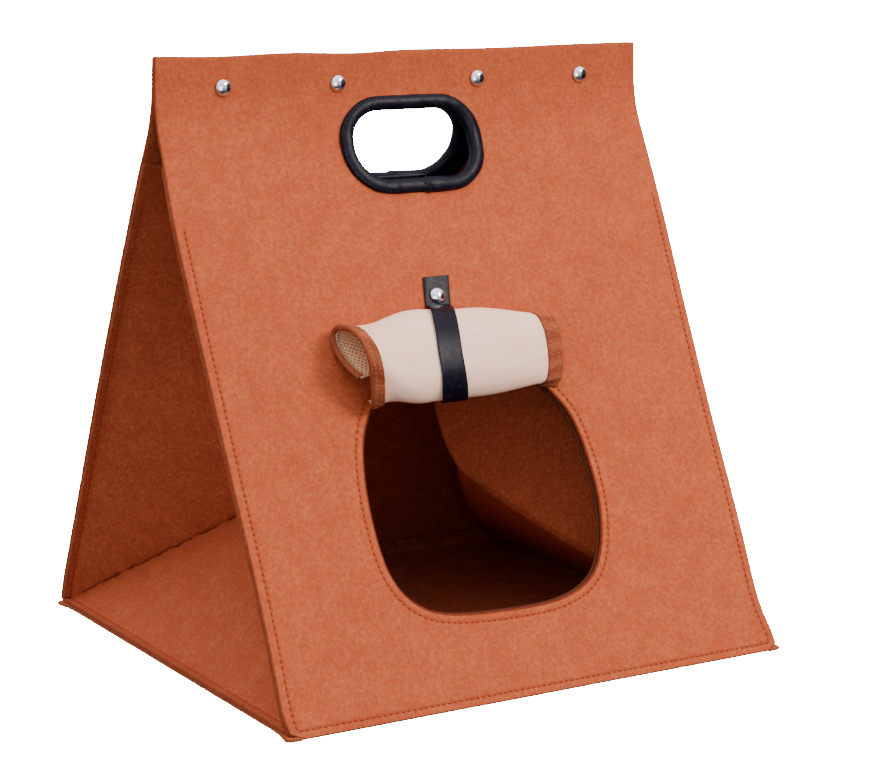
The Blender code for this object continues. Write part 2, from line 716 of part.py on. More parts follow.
def main():
    clear_scene()
    parts = bpy.data.collections.new("felt_cave")
    cutters = bpy.data.collections.new("cutters")
    for collection in (parts, cutters):
        bpy.context.scene.collection.children.link(collection)
    felt = make_material("felt", (0.60, 0.175, 0.080), 0.92)
    tape = make_material("binding_tape", (0.45, 0.12, 0.045), 0.75)
    mesh_cloth = make_material("air_mesh", (0.80, 0.69, 0.60), 0.70)
    leather = make_material("black_leather", (0.020, 0.018, 0.026), 0.45)
    metal = make_material("nickel", (0.72, 0.72, 0.74), 0.18, metallic=1.0)

    build_panels(felt, parts)
    build_floor(felt, parts)
    build_gusset("gusset_left", -1, GUSSET_APEX_HEIGHT["left"], felt, parts)
    build_gusset("gusset_right", 1, GUSSET_APEX_HEIGHT["right"], felt, parts)
    build_door(mesh_cloth, tape, parts)
    build_strap(leather, parts, cutters)
    build_handle_trims(leather, parts)
    build_snaps(metal, parts)


main()
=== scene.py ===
"""How the felt pet cave looks: needled felt, its seams and stitches, the rolled door, the trim and the snaps.

Units are metres. +X runs to the right of someone who faces the door, +Y to the back and +Z up. The numbers and
curves that the cloth is built from are those of the part's own source.

Flat pieces have x across the panel, s up along it from its bottom edge, and t outwards from its outer face.
"""

import math

import bmesh
import bpy
from mathutils import Matrix, Vector, geometry, noise
from mathutils.kdtree import KDTree


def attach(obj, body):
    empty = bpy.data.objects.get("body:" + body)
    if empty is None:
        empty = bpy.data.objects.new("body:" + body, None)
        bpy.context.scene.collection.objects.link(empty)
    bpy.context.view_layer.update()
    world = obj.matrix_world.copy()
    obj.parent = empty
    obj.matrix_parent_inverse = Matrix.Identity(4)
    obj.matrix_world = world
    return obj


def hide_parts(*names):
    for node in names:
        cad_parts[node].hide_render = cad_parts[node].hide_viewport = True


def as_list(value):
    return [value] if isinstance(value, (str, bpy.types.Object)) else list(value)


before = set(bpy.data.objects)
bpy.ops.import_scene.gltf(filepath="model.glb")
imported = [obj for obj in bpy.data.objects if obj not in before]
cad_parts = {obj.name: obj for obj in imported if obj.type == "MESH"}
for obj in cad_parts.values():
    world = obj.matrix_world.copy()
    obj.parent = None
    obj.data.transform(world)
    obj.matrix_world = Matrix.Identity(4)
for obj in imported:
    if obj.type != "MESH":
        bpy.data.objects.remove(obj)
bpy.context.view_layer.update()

# ------------------------------------------------------------ sizes, as in the part
WIDTH = 0.400
DEPTH = 0.3874
HEIGHT = 0.4317
FELT = 0.003
GAP = 0.0003
SEAM = 0.007

LEAN = math.radians(63.9)
BEND_RADIUS = 0.090
PRESSED = 0.0052
PRESSED_RISE = (0.305, 0.375)
PRESSED_FALL = (0.398, 0.436)
GUSSET_HEIGHT = 0.3985

SNAP_ROW = 0.4089
SNAP_PLACES = (-0.1487, -0.0582, 0.0582, 0.1487)
CAP_RADIUS = 0.0062

HANDLE_CENTRE_X = -0.0025
HANDLE_TOP = 0.4350
HANDLE_SIZE = (0.1044, 0.0618)
HANDLE_CORNER = 0.0278
HANDLE_CORNER_STEPS = 10

AIR_MESH = 0.0020
DOOR_WIDTH = 0.16
BINDING = 0.0008
BINDING_START = 0.17
TAPE_LENGTH = 0.25
BINDING_SHARES = {"left": 0.056, "right": 0.080}
STRAP_WIDTH = 0.0205
STRAP_THICKNESS = 0.0012
STRAP_SNAP = (-0.0145, 0.2895)
FACING = 0.0008
FACING_INNER = 0.0015
FACING_OUTER = 0.0100

FRONT_SIDES = (
    (0.0040, -0.2000, 0.1995),
    (0.0130, -0.2022, 0.1988),
    (0.0300, -0.2027, 0.1952),
    (0.0500, -0.2020, 0.1940),
    (0.1000, -0.2015, 0.1952),
    (0.1800, -0.2022, 0.1958),
    (0.2600, -0.2032, 0.1976),
    (0.3500, -0.2038, 0.1998),
    (0.4150, -0.2012, 0.2000),
    (0.4700, -0.2000, 0.2000),
)
BACK_SIDES = (
    (0.0040, -0.2000, 0.2000),
    (0.0300, -0.2015, 0.2012),
    (0.1800, -0.2028, 0.2020),
    (0.3500, -0.2038, 0.2025),
    (0.4700, -0.2000, 0.2000),
)
TOP_SAG = (
    (-0.152, 0.0014),
    (-0.096, 0.0004),
    (-0.042, 0.0019),
    (0.000, 0.0006),
    (0.075, 0.0012),
    (0.132, 0.0004),
)
DOOR_SIDES = (
    (-0.0970, 0.1940),
    (-0.1035, 0.1640),
    (-0.1050, 0.1310),
    (-0.1015, 0.1000),
    (-0.0900, 0.0790),
    (-0.0680, 0.0665),
    (-0.0240, 0.0620),
    (0.0240, 0.0630),
    (0.0540, 0.0740),
    (0.0700, 0.0960),
    (0.0775, 0.1290),
    (0.0770, 0.1660),
    (0.0710, 0.1940),
)
ARCH_TOP = 0.2465
ARCH_CENTRE = -0.0140
ARCH_FALL = 6.2
ARCH_STEPS = (-0.070, -0.056, -0.038, -0.019, 0.0, 0.019, 0.038, 0.056, 0.070)

# The rolled door from its sewn edge to its free edge: x, s, t at the left end, s, t under the strap, and x, s, t
# at the right end.
ROLL = (
    (-0.0865, 0.2185, 0.0013, 0.2510, 0.0013, 0.0586, 0.2185, 0.0013),
    (-0.0875, 0.2150, 0.0016, 0.2420, 0.0016, 0.0590, 0.2155, 0.0016),
    (-0.0900, 0.2130, 0.0070, 0.2300, 0.0032, 0.0600, 0.2138, 0.0055),
    (-0.0930, 0.2155, 0.0170, 0.2160, 0.0054, 0.0615, 0.2158, 0.0105),
    (-0.0965, 0.2255, 0.0275, 0.2090, 0.0125, 0.0630, 0.2200, 0.0140),
    (-0.1000, 0.2380, 0.0370, 0.2135, 0.0212, 0.0645, 0.2270, 0.0162),
    (-0.1020, 0.2510, 0.0372, 0.2250, 0.0268, 0.0655, 0.2350, 0.0178),
    (-0.1035, 0.2620, 0.0290, 0.2400, 0.0284, 0.0665, 0.2440, 0.0186),
    (-0.1045, 0.2680, 0.0185, 0.2550, 0.0268, 0.0672, 0.2535, 0.0180),
    (-0.1050, 0.2700, 0.0090, 0.2680, 0.0205, 0.0672, 0.2618, 0.0144),
    (-0.1055, 0.2660, 0.0040, 0.2740, 0.0130, 0.0668, 0.2638, 0.0090),
    (-0.1052, 0.2565, 0.0042, 0.2690, 0.0080, 0.0660, 0.2585, 0.0055),
    (-0.1040, 0.2430, 0.0115, 0.2560, 0.0078, 0.0650, 0.2480, 0.0056),
    (-0.1015, 0.2310, 0.0215, 0.2400, 0.0092, 0.0632, 0.2360, 0.0078),
)
STRAP_REACH = (-0.0460, -0.0030)
SEWN_ABOVE = 0.0045
SLOPE_STEP = 0.002
PINCH = 0.0011  # how far the tape draws in the cloth at the right end

# The strap from its sewn end inside the panel, round the roll, to its tab: x, s, t.
STRAP_PATH = (
    (-0.0120, 0.2600, -0.0054),
    (-0.0130, 0.2490, -0.0054),
    (-0.0140, 0.2425, -0.0047),
    (-0.0155, 0.2365, -0.0025),
    (-0.0185, 0.2290, 0.0006),
    (-0.0230, 0.2145, 0.0032),
    (-0.0270, 0.2067, 0.0120),
    (-0.0315, 0.2116, 0.0231),
    (-0.0330, 0.2242, 0.0290),
    (-0.0328, 0.2400, 0.0306),
    (-0.0303, 0.2558, 0.0290),
    (-0.0258, 0.2698, 0.0225),
    (-0.0212, 0.2765, 0.0135),
    (-0.0180, 0.2790, 0.0060),
    (-0.0160, 0.2815, 0.0018),
    (-0.0152, 0.2850, 0.0012),
    (-0.0135, 0.2950, 0.0011),
    (-0.0118, 0.3040, 0.0011),
)
STRAP_LIFT = 0.0011
LOW_ON_ROLL = (0.2065, 0.2300)

GUSSET_APEX_HEIGHT = {"left": 0.1300, "right": 0.1170}
GUSSET_TOP = (0.1850, 0.3330)
APEX_S = 0.1937
GUSSET_INSET = 0.0005
# above the apex: how much higher, and how far in from it the fold between the wings has moved there
CREST_PATHS = {
    "left": ((0.0, 0.0), (0.203, 0.0414)),
    "right": ((0.0, 0.0), (0.016, 0.0092), (0.033, 0.0160), (0.055, 0.0218), (0.105, 0.0280), (0.216, 0.0306)),
}
CREASE_SAG = {"left": 0.0, "right": 0.008}
PUCKERED = {"left": 1.0, "right": 0.25}
FOLD_SHADE = {"left": 0.50, "right": 0.10}  # painted shade beside a fold: how dark it makes the felt

TRIM_SECTION = (
    (-0.0065, 0.0003),
    (-0.0062, 0.0022),
    (-0.0045, 0.0038),
    (-0.0015, 0.0046),
    (0.0015, 0.0043),
    (0.0036, 0.0026),
    (0.0042, -0.0002),
    (0.0036, -0.0028),
    (0.0018, -0.0042),
    (-0.0030, -0.0042),
    (-0.0030, -0.0033),
    (0.0003, -0.0033),
    (0.0003, 0.0003),
)
CAP_PROFILE = (
    (0.0, 0.0036),
    (0.0014, 0.0035),
    (0.0028, 0.0032),
    (0.0042, 0.0026),
    (0.0052, 0.0018),
    (0.0059, 0.0010),
    (CAP_RADIUS, 0.0004),
    (0.0061, 0.0001),
    (0.0055, 0.0),
)


# ------------------------------------------------------------ small helpers
def lerp(a, b, f):
    return a + (b - a) * f


def smooth_step(ends, value):
    """0 up to the first end, 1 from the second, and smooth between them."""
    f = min(1.0, max(0.0, (value - ends[0]) / (ends[1] - ends[0])))
    return f * f * (3 - 2 * f)


def table_value(table, key, column):
    """A column of a table whose first column is its key, on a smooth curve between the rows."""
    keys = [row[0] for row in table]
    if key <= keys[0]:
        return table[0][column]
    if key >= keys[-1]:
        return table[-1][column]
    i = max(k for k in range(len(keys)) if keys[k] <= key)
    share = (key - keys[i]) / (keys[i + 1] - keys[i])
    slopes = []
    for k in (i, i + 1):
        before, after = table[max(0, k - 1)], table[min(len(table) - 1, k + 1)]
        slopes.append((after[column] - before[column]) / (after[0] - before[0]))
    a, b, span = table[i][column], table[i + 1][column], keys[i + 1] - keys[i]
    near, far = share * (1 - share) ** 2, share**2 * (share - 1)
    return lerp(a, b, share * share * (3 - 2 * share)) + span * (near * slopes[0] + far * slopes[1])


def smooth_rows(rows, f):
    """The point at f, from 0 to 1, on a smooth curve through all the rows of a table."""
    spans = len(rows) - 1
    i = min(int(f * spans), spans - 1)
    u = f * spans - i
    around = [rows[max(0, min(spans, i + k))] for k in (-1, 0, 1, 2)]
    values = []
    for a, b, c, d in zip(*around):
        bend, twist = 2 * a - 5 * b + 4 * c - d, 3 * b - a - 3 * c + d
        values.append(0.5 * (2 * b + (c - a) * u + bend * u**2 + twist * u**3))
    return values


def smooth_loop(points, steps_each):
    """A closed smooth curve through points, with so many steps from one to the next."""
    n = len(points)
    loop = []
    for i in range(n):
        rows = [points[(i + k) % n] for k in (-1, 0, 1, 2)]
        loop += [tuple(smooth_rows(rows, (1 + k / steps_each) / 3)) for k in range(steps_each)]
    return loop


def offset_loop(loop, distance):
    """A counter-clockwise closed outline moved outwards by distance, with its corners kept."""
    moved = []
    for i, point in enumerate(loop):
        p = Vector(point)
        before, after = (p - Vector(loop[i - 1])).normalized(), (Vector(loop[(i + 1) % len(loop)]) - p).normalized()
        middle = (before + after).normalized()
        stretch = distance / max(0.5, middle.dot(before))
        moved.append((p.x + middle.y * stretch, p.y - middle.x * stretch))
    return moved


def even_points(path, pitch, closed=False):
    """Points on a polyline, as close to pitch apart as an even share allows."""
    points = [Vector(p) for p in path] + ([Vector(path[0])] if closed else [])
    lengths = [(b - a).length for a, b in zip(points, points[1:])]
    count = max(2, round(sum(lengths) / pitch))
    made, i, passed = [], 0, 0.0
    for k in range(count if closed else count + 1):
        target = sum(lengths) * k / count
        while i < len(lengths) - 1 and passed + lengths[i] < target:
            passed += lengths[i]
            i += 1
        made.append(points[i].lerp(points[i + 1], (target - passed) / lengths[i]))
    return made


# ------------------------------------------------------------ where things lie
FOOT_GAP = DEPTH / 2 - FELT / 2 * math.sin(LEAN)
FOOT_HEIGHT = FELT / 2 * math.cos(LEAN)
TOP_GAP = (FELT + GAP) / 2
STRAIGHT = (FOOT_GAP - TOP_GAP - BEND_RADIUS * (1 - math.sin(LEAN))) / math.cos(LEAN)
BEND_LENGTH = BEND_RADIUS * (math.pi / 2 - LEAN)
BEND_TOP = FOOT_HEIGHT + STRAIGHT * math.sin(LEAN) + BEND_RADIUS * math.cos(LEAN)
PANEL_LENGTH = STRAIGHT + BEND_LENGTH + HEIGHT - BEND_TOP
SNAP_S = PANEL_LENGTH - (HEIGHT - SNAP_ROW)
INNER_LAYER = -(FELT + GAP)


def panel_profile(s):
    """Half the gap between the panels, the height and the angle, for the middle of the felt at s."""
    if s <= STRAIGHT:
        return FOOT_GAP - s * math.cos(LEAN), FOOT_HEIGHT + s * math.sin(LEAN), LEAN
    angle = min(LEAN + (s - STRAIGHT) / BEND_RADIUS, math.pi / 2)
    gap = TOP_GAP + BEND_RADIUS * (1 - math.sin(angle))
    height = BEND_TOP - BEND_RADIUS * math.cos(angle) + max(0.0, s - STRAIGHT - BEND_LENGTH)
    return gap, height, angle


def pressed(x, s):
    """How far a point of a panel's surface is pressed inwards, round the handle hole."""
    middle = max(0.0, 1 - (2 * x / WIDTH) ** 2) ** 2
    return PRESSED * middle * smooth_step(PRESSED_RISE, s) * (1 - smooth_step(PRESSED_FALL, s))


BROAD_WAVES, SMALL_WAVES = 0.0012, 0.0004  # how far the felt stands off flat
CREASE_WIDTH = 0.0030
# faint creases in the front panel: from and to, and how deep
FRONT_CREASES = (
    ((-0.0225, 0.4700), (-0.0150, 0.4465), 0.00080),
    ((-0.0210, 0.3630), (-0.0235, 0.3000), 0.00070),
    ((0.0010, 0.3610), (-0.0010, 0.3180), 0.00050),
    ((0.1070, 0.0745), (0.1275, 0.0485), 0.00080),
)


def slack(side, x, s):
    """The soft unevenness of a panel, which dies out where the panels are snapped together."""
    free = 1 - smooth_step((0.33, 0.39), s)
    broad = noise.noise(Vector((x * 9 + side * 3.1, s * 7, side)))
    small = noise.noise(Vector((x * 26, s * 22 + side * 5.3, 4 + side)))
    dent = 0.0
    if side < 0:
        for a, b, depth in FRONT_CREASES:
            nearest, share = geometry.intersect_point_line((x, s), a, b)
            if -0.3 < share < 1.3:
                fade = smooth_step((-0.3, 0.1), share) * (1 - smooth_step((0.9, 1.3), share))
                dent += depth * fade * math.exp(-(((Vector((x, s)) - nearest).length / CREASE_WIDTH) ** 2))
    return free * (BROAD_WAVES * broad + SMALL_WAVES * small) - dent


def on_panel(side, x, s, t):
    """The place of a flat point on the front (side -1) or back (side 1) panel."""
    gap, height, angle = panel_profile(s)
    out = t + FELT / 2 + slack(side, x, s)
    return Vector((x, side * (gap + out * math.sin(angle) - pressed(x, s)), height + out * math.cos(angle)))


def arch_height(x):
    return ARCH_TOP - ARCH_FALL * (x - ARCH_CENTRE) ** 2


def door_loop(steps_each):
    arch = [(ARCH_CENTRE + dx, arch_height(ARCH_CENTRE + dx)) for dx in reversed(ARCH_STEPS)]
    return smooth_loop(list(DOOR_SIDES) + arch, steps_each)


def handle_loop():
    """The handle hole, counter-clockwise from its lower right corner."""
    half_width, half_height = HANDLE_SIZE[0] / 2, HANDLE_SIZE[1] / 2
    loop = []
    for turn, (sign_x, sign_y) in enumerate(((1, -1), (1, 1), (-1, 1), (-1, -1))):
        x = HANDLE_CENTRE_X + sign_x * (half_width - HANDLE_CORNER)
        s = HANDLE_TOP - half_height + sign_y * (half_height - HANDLE_CORNER)
        for step in range(HANDLE_CORNER_STEPS + 1):
            angle = math.radians(90 * (turn - 1 + step / HANDLE_CORNER_STEPS))
            loop.append((x + HANDLE_CORNER * math.cos(angle), s + HANDLE_CORNER * math.sin(angle)))
    return loop


# ------------------------------------------------------------ making meshes
def new_object(name, bm, materials):
    """Puts a finished bmesh in the scene."""
    mesh = bpy.data.meshes.new(name)
    bm.to_mesh(mesh)
    bm.free()
    for material in materials:
        mesh.materials.append(material)
    made = bpy.data.objects.new(name, mesh)
    bpy.context.scene.collection.objects.link(made)
    return made


def add_piece(name, bm, materials, nodes=()):
    """Makes a piece of the cave, with its body and the CAD nodes that it stands for."""
    made = new_object(name, bm, materials)
    made.data.shade_smooth()
    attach(made, "root")
    if nodes:
        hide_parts(*nodes)
    return made


def add_thickness(made, thickness, even=True):
    """A wall round the middle of a thin sheet."""
    thick = made.modifiers.new("thickness", "SOLIDIFY")
    thick.thickness = thickness
    thick.offset = 0
    thick.use_even_offset = even
    return thick


def wear_edges(made, width):
    """Rounds the sharp edges of a cut sheet."""
    worn = made.modifiers.new("worn edge", "BEVEL")
    worn.width = width
    worn.segments = 2
    worn.limit_method = "ANGLE"
    worn.angle_limit = math.radians(60)


def mapped_grid(columns, rows, where):
    """A grid with so many cells, each point (u, v) from 0 to 1 moved to where(u, v). Its UVs are u and v."""
    bm = bmesh.new()
    uv = bm.loops.layers.uv.new("flat")
    bmesh.ops.create_grid(bm, x_segments=columns, y_segments=rows, size=0.5)
    for face in bm.faces:
        for loop in face.loops:
            loop[uv].uv = (loop.vert.co.x + 0.5, loop.vert.co.y + 0.5)
    for vertex in bm.verts:
        vertex.co = where(vertex.co.x + 0.5, vertex.co.y + 0.5)
    bmesh.ops.remove_doubles(bm, verts=bm.verts, dist=2e-6)
    bmesh.ops.recalc_face_normals(bm, faces=bm.faces)
    return bm


def scale_uvs(bm, size):
    """UVs in metres of flat cloth, so that weaves and grains have their real size."""
    uv = bm.loops.layers.uv["flat"]
    for face in bm.faces:
        for loop in face.loops:
            loop[uv].uv = (loop[uv].uv.x * size[0], loop[uv].uv.y * size[1])


# distances in from a cut edge, and how far the face has dropped there, in shares of half the felt
RIM = tuple((distance, 0.0) for distance in (0.0090, 0.0079, 0.0072, 0.0066, 0.0060, 0.0052, 0.0045, 0.0038, 0.0028))
RIM += ((0.0016, 0.02), (0.0008, 0.10), (0.0003, 0.36), (0.0, 1.0))
POINT_GAP = 0.0026  # along a cut edge
SEAM_GROOVE = (0.00045, 0.0011)  # how deep and how wide
SEAM_DARKENING = 0.42


def split_at_corners(loop):
    """The parts of a closed outline between its corners, each with both of its end points."""
    n = len(loop)
    corners = []
    for i in range(n):
        before = Vector(loop[i]) - Vector(loop[i - 1])
        after = Vector(loop[(i + 1) % n]) - Vector(loop[i])
        if before.angle(after) > math.radians(20):
            corners.append(i)
    if not corners:
        return [loop + loop[:1]]
    parts = []
    for a, b in zip(corners, corners[1:] + [corners[0] + n]):
        parts.append([loop[i % n] for i in range(a, b + 1)])
    return parts


def along_part(part, walked):
    """The point so far along a part of an outline, and its direction there. It runs on straight past both ends."""
    points = [Vector(p) for p in part]
    for i, (a, b) in enumerate(zip(points, points[1:])):
        length = (b - a).length
        if walked <= length or i == len(points) - 2:
            round_again = points[0] == points[-1]
            before = points[i] - points[i - 1] if i else points[0] - points[-2] if round_again else b - a
            after = points[i + 2] - b if i + 2 < len(points) else points[1] - points[0] if round_again else b - a
            share = min(1.0, max(0.0, walked / length))
            mixed = (before.normalized() * (1 - share) + after.normalized() * share) * 0.5 + (b - a).normalized()
            return a + (b - a) * (walked / length), mixed.normalized()
        walked -= length


def inset_pairs(loop, inset, closed_side):
    """Pairs of a point set in from a closed outline and the point on the outline that it belongs to.

    closed_side is 1 for the outside of a piece and -1 for a hole.
    """
    parts = split_at_corners(loop)
    pairs = []
    for k, part in enumerate(parts):
        length = sum((Vector(q) - Vector(p)).length for p, q in zip(part, part[1:]))
        clips = [0.0, 0.0]
        if len(parts) > 1:
            for end, (one, other) in enumerate(((parts[k - 1], part), (part, parts[(k + 1) % len(parts)]))):
                before = (Vector(one[-1]) - Vector(one[-2])).normalized()
                after = (Vector(other[1]) - Vector(other[0])).normalized()
                turn = math.atan2(before.x * after.y - before.y * after.x, before.dot(after))
                clips[end] = closed_side * inset * math.tan(turn / 2)
        steps = max(2, round(length / POINT_GAP))
        for i in range(steps):
            on_edge, _ = along_part(part, length * i / steps)
            near, along = along_part(part, lerp(clips[0], length - clips[1], i / steps))
            if i == 0 and len(parts) > 1:
                along = (Vector(part[1]) - Vector(part[0])).normalized()
            inwards = Vector((-along.y, along.x)) * closed_side * inset
            pairs.append((near + inwards, on_edge))
    return pairs


def cut_felt(outer, holes, grid, seams, rim=RIM, extra=()):
    """A flat piece of felt with rounded cut edges, and a soft groove along each seam, a list of flat points.

    Its faces are grid wide, with more cuts across at extra. The layer "cut" is 1 on the cut edges, "seam" is how much
    darker the felt is along the seams, and "rim" is the distance from the nearest cut edge, where that is small.
    """
    bm = bmesh.new()
    cut = bm.verts.layers.float.new("cut")
    seam = bm.verts.layers.float.new("seam")
    rim_layer = bm.verts.layers.float.new("rim")
    loops = [inset_pairs(outer, rim[0][0], 1)] + [inset_pairs(hole, rim[0][0], -1) for hole in holes]
    spans = []
    for pairs in loops:
        ring = [bm.verts.new((p.x, p.y, 0)) for p, _ in pairs]
        for i in range(len(ring)):
            bm.edges.new((ring[i - 1], ring[i]))
            spans.append((pairs[i - 1], pairs[i]))
    bmesh.ops.triangle_fill(bm, edges=bm.edges, use_dissolve=False, use_beauty=True)
    xs, ys = [p[0] for p in outer], [p[1] for p in outer]
    cuts = [(0, i * grid) for i in range(math.ceil(min(xs) / grid), math.floor(max(xs) / grid) + 1)]
    cuts += [(1, i * grid) for i in range(math.ceil(min(ys) / grid), math.floor(max(ys) / grid) + 1)]
    for axis, place in cuts + [(1, y) for y in extra]:
        everything = bm.verts[:] + bm.edges[:] + bm.faces[:]
        where, normal = ((place, 0, 0), (1, 0, 0)) if axis == 0 else ((0, place, 0), (0, 1, 0))
        bmesh.ops.bisect_plane(bm, geom=everything, dist=1e-5, plane_co=where, plane_no=normal)

    def off_grid(edge):
        a, b = (v.co for v in edge.verts)
        return len(edge.link_faces) == 2 and min(abs(a.x - b.x), abs(a.y - b.y)) > 4e-5

    bmesh.ops.dissolve_edges(bm, edges=[e for e in bm.edges if off_grid(e)], use_verts=False)
    bmesh.ops.dissolve_verts(bm, verts=[v for v in bm.verts if not v.is_boundary and len(v.link_edges) == 2])
    bmesh.ops.triangulate(bm, faces=[f for f in bm.faces if len(f.verts) > 4])
    border = [e for e in bm.edges if len(e.link_faces) == 1]
    pairs = paired_points({v for e in border for v in e.verts}, spans)
    ring_distance = {}
    for distance, _ in rim[1:]:
        made = bmesh.ops.extrude_edge_only(bm, edges=border)["geom"]
        fresh = {g for g in made if isinstance(g, bmesh.types.BMVert)}
        moved = {}
        for v in fresh:
            near, far = pairs[v.co.copy().freeze()]
            v.co.xy = near.lerp(far, 1 - distance / rim[0][0])
            moved[v.co.copy().freeze()] = (near, far)
            ring_distance[v] = distance
        pairs = moved
        border = [g for g in made if isinstance(g, bmesh.types.BMEdge) and fresh.issuperset(g.verts)]

    tree = KDTree(max(1, sum(len(line) for line in seams)))
    for i, p in enumerate(p for line in seams for p in line):
        tree.insert((p[0], p[1], 0), i)
    tree.balance()
    drops = dict(rim)
    for v in bm.verts:
        drop = drops[ring_distance.get(v, rim[0][0])]
        v[cut] = smooth_step((0.05, 0.5), drop)
        v[rim_layer] = ring_distance.get(v, rim[0][0])
        near = tree.find(v.co)[2] if seams else 1.0
        sunk = math.exp(-((near / SEAM_GROOVE[1]) ** 2))
        v[seam] = SEAM_DARKENING * sunk
        v.co.z = -drop * FELT / 2 - SEAM_GROOVE[0] * sunk
    return bm


def paired_points(verts, spans):
    """For each point of the inner ring, its own place and the place on the cut edge that it belongs to."""
    tree = KDTree(len(spans))
    for i, ((a, _), (b, _)) in enumerate(spans):
        tree.insert((*((a + b) / 2), 0), i)
    tree.balance()
    found = {}
    for v in verts:
        best = None
        for _, i, _ in tree.find_n(v.co, 6):
            (a, far_a), (b, far_b) = spans[i]
            along = b - a
            share = min(1.0, max(0.0, (v.co.xy - a).dot(along) / along.length_squared))
            off = (a + along * share - v.co.xy).length
            if best is None or off < best[0]:
                best = (off, far_a.lerp(far_b, share))
        found[v.co.copy().freeze()] = (v.co.xy.copy(), best[1])
    return found


def close_felt(bm):
    """Copies the outer face of a flat piece to its inner face and joins the two along the cut edges."""
    copied = bmesh.ops.duplicate(bm, geom=bm.verts[:] + bm.edges[:] + bm.faces[:])["geom"]
    inner = [g for g in copied if isinstance(g, bmesh.types.BMVert)]
    for v in inner:
        v.co.z = -FELT - v.co.z
    bmesh.ops.remove_doubles(bm, verts=[v for v in bm.verts if v.is_boundary], dist=2e-6)
    bmesh.ops.recalc_face_normals(bm, faces=bm.faces)


def add_thread(bm, middle, along, out, size):
    """A short rounded piece of thread: its middle, its directions along and outwards, and half its sizes."""
    side = out.cross(along).normalized()
    turn = Matrix((along, side, along.cross(side))).transposed().to_4x4()
    place = Matrix.Translation(middle) @ turn @ Matrix.Diagonal((*size, 1))
    bmesh.ops.create_icosphere(bm, subdivisions=1, radius=1, matrix=place)


def add_stitches(name, lines, material, slot_name, pitch=0.0045, length=0.0031, thick=0.0014):
    """Stitches, evenly spaced along lines of (point, outward direction)."""
    bm = bmesh.new()
    size = (length / 2, thick / 2, thick / 2 * 0.8)
    for line in lines:
        walked, due = 0.0, pitch / 2
        for (a, out), (b, _) in zip(line, line[1:]):
            step = (b - a).length
            while step > 0 and due <= walked + step:
                add_thread(bm, a.lerp(b, (due - walked) / step), (b - a) / step, out, size)
                due += pitch
            walked += step
    return add_piece(name, bm, [material])


def line_on_panel(side, points, t=-0.00008):
    """Flat points of a panel as a line for stitches."""
    line = []
    for x, s in points:
        line.append((on_panel(side, x, s, t), on_panel(side, x, s, t + 0.001) - on_panel(side, x, s, t)))
    return line


# ------------------------------------------------------------ materials
def linear(colour):
    """The linear colour of an sRGB hex text such as "C97450"."""
    parts = [int(colour[i : i + 2], 16) / 255 for i in (0, 2, 4)]
    return tuple(c / 12.92 if c <= 0.04045 else ((c + 0.055) / 1.055) ** 2.4 for c in parts) + (1.0,)


def add_node(tree, kind, inputs=None, **properties):
    """Adds a node; inputs are by name or number, each a value or the socket that feeds it."""
    node = tree.nodes.new(kind)
    for key, value in properties.items():
        setattr(node, key, value)
    for key, value in (inputs or {}).items():
        if isinstance(value, bpy.types.NodeSocket):
            tree.links.new(value, node.inputs[key])
        else:
            node.inputs[key].default_value = value
    return node


def new_material(name, **values):
    """A material with its shader's plain values, such as Roughness=0.5, and its node tree and shader."""
    material = bpy.data.materials.new(name)
    material.use_nodes = True
    shader = material.node_tree.nodes["Principled BSDF"]
    for key, value in values.items():
        shader.inputs[key.replace("_", " ")].default_value = value
    return material, material.node_tree, shader


def spread(value, low, high, to_low=0.0, to_high=1.0):
    """Inputs that take a value that runs from low to high to a range of its own."""
    return {"Value": value, "From Min": low, "From Max": high, "To Min": to_low, "To Max": to_high}


def lay_colours(tree, colour, layers):
    """Colours laid over one another: each layer's pattern, its range, how much of it shows, and its colour."""
    for pattern, ends, shows, over in layers:
        share = add_node(tree, "ShaderNodeMapRange", spread(pattern, *ends, *shows)).outputs[0]
        colour = add_node(tree, "ShaderNodeMix", {0: share, 6: colour, 7: over}, data_type="RGBA").outputs[2]
    return colour


def dress(tree, shader, colour, height, strength, distance):
    """Gives the shader its colour and a small relief, distance high."""
    tree.links.new(colour, shader.inputs["Base Color"])
    relief = add_node(tree, "ShaderNodeBump", {"Height": height, "Strength": strength, "Distance": distance})
    tree.links.new(relief.outputs[0], shader.inputs["Normal"])


# A noise or cell pattern of scale n has grains of 1000 / n mm, and a wave of scale n has ribs of 314 / n mm.
ALL = (0.0, 1.0)
WRINKLE = linear("8A3A1C")
SEWN_DOWN_AND_FOLD_SHADE = linear("7C2C12")


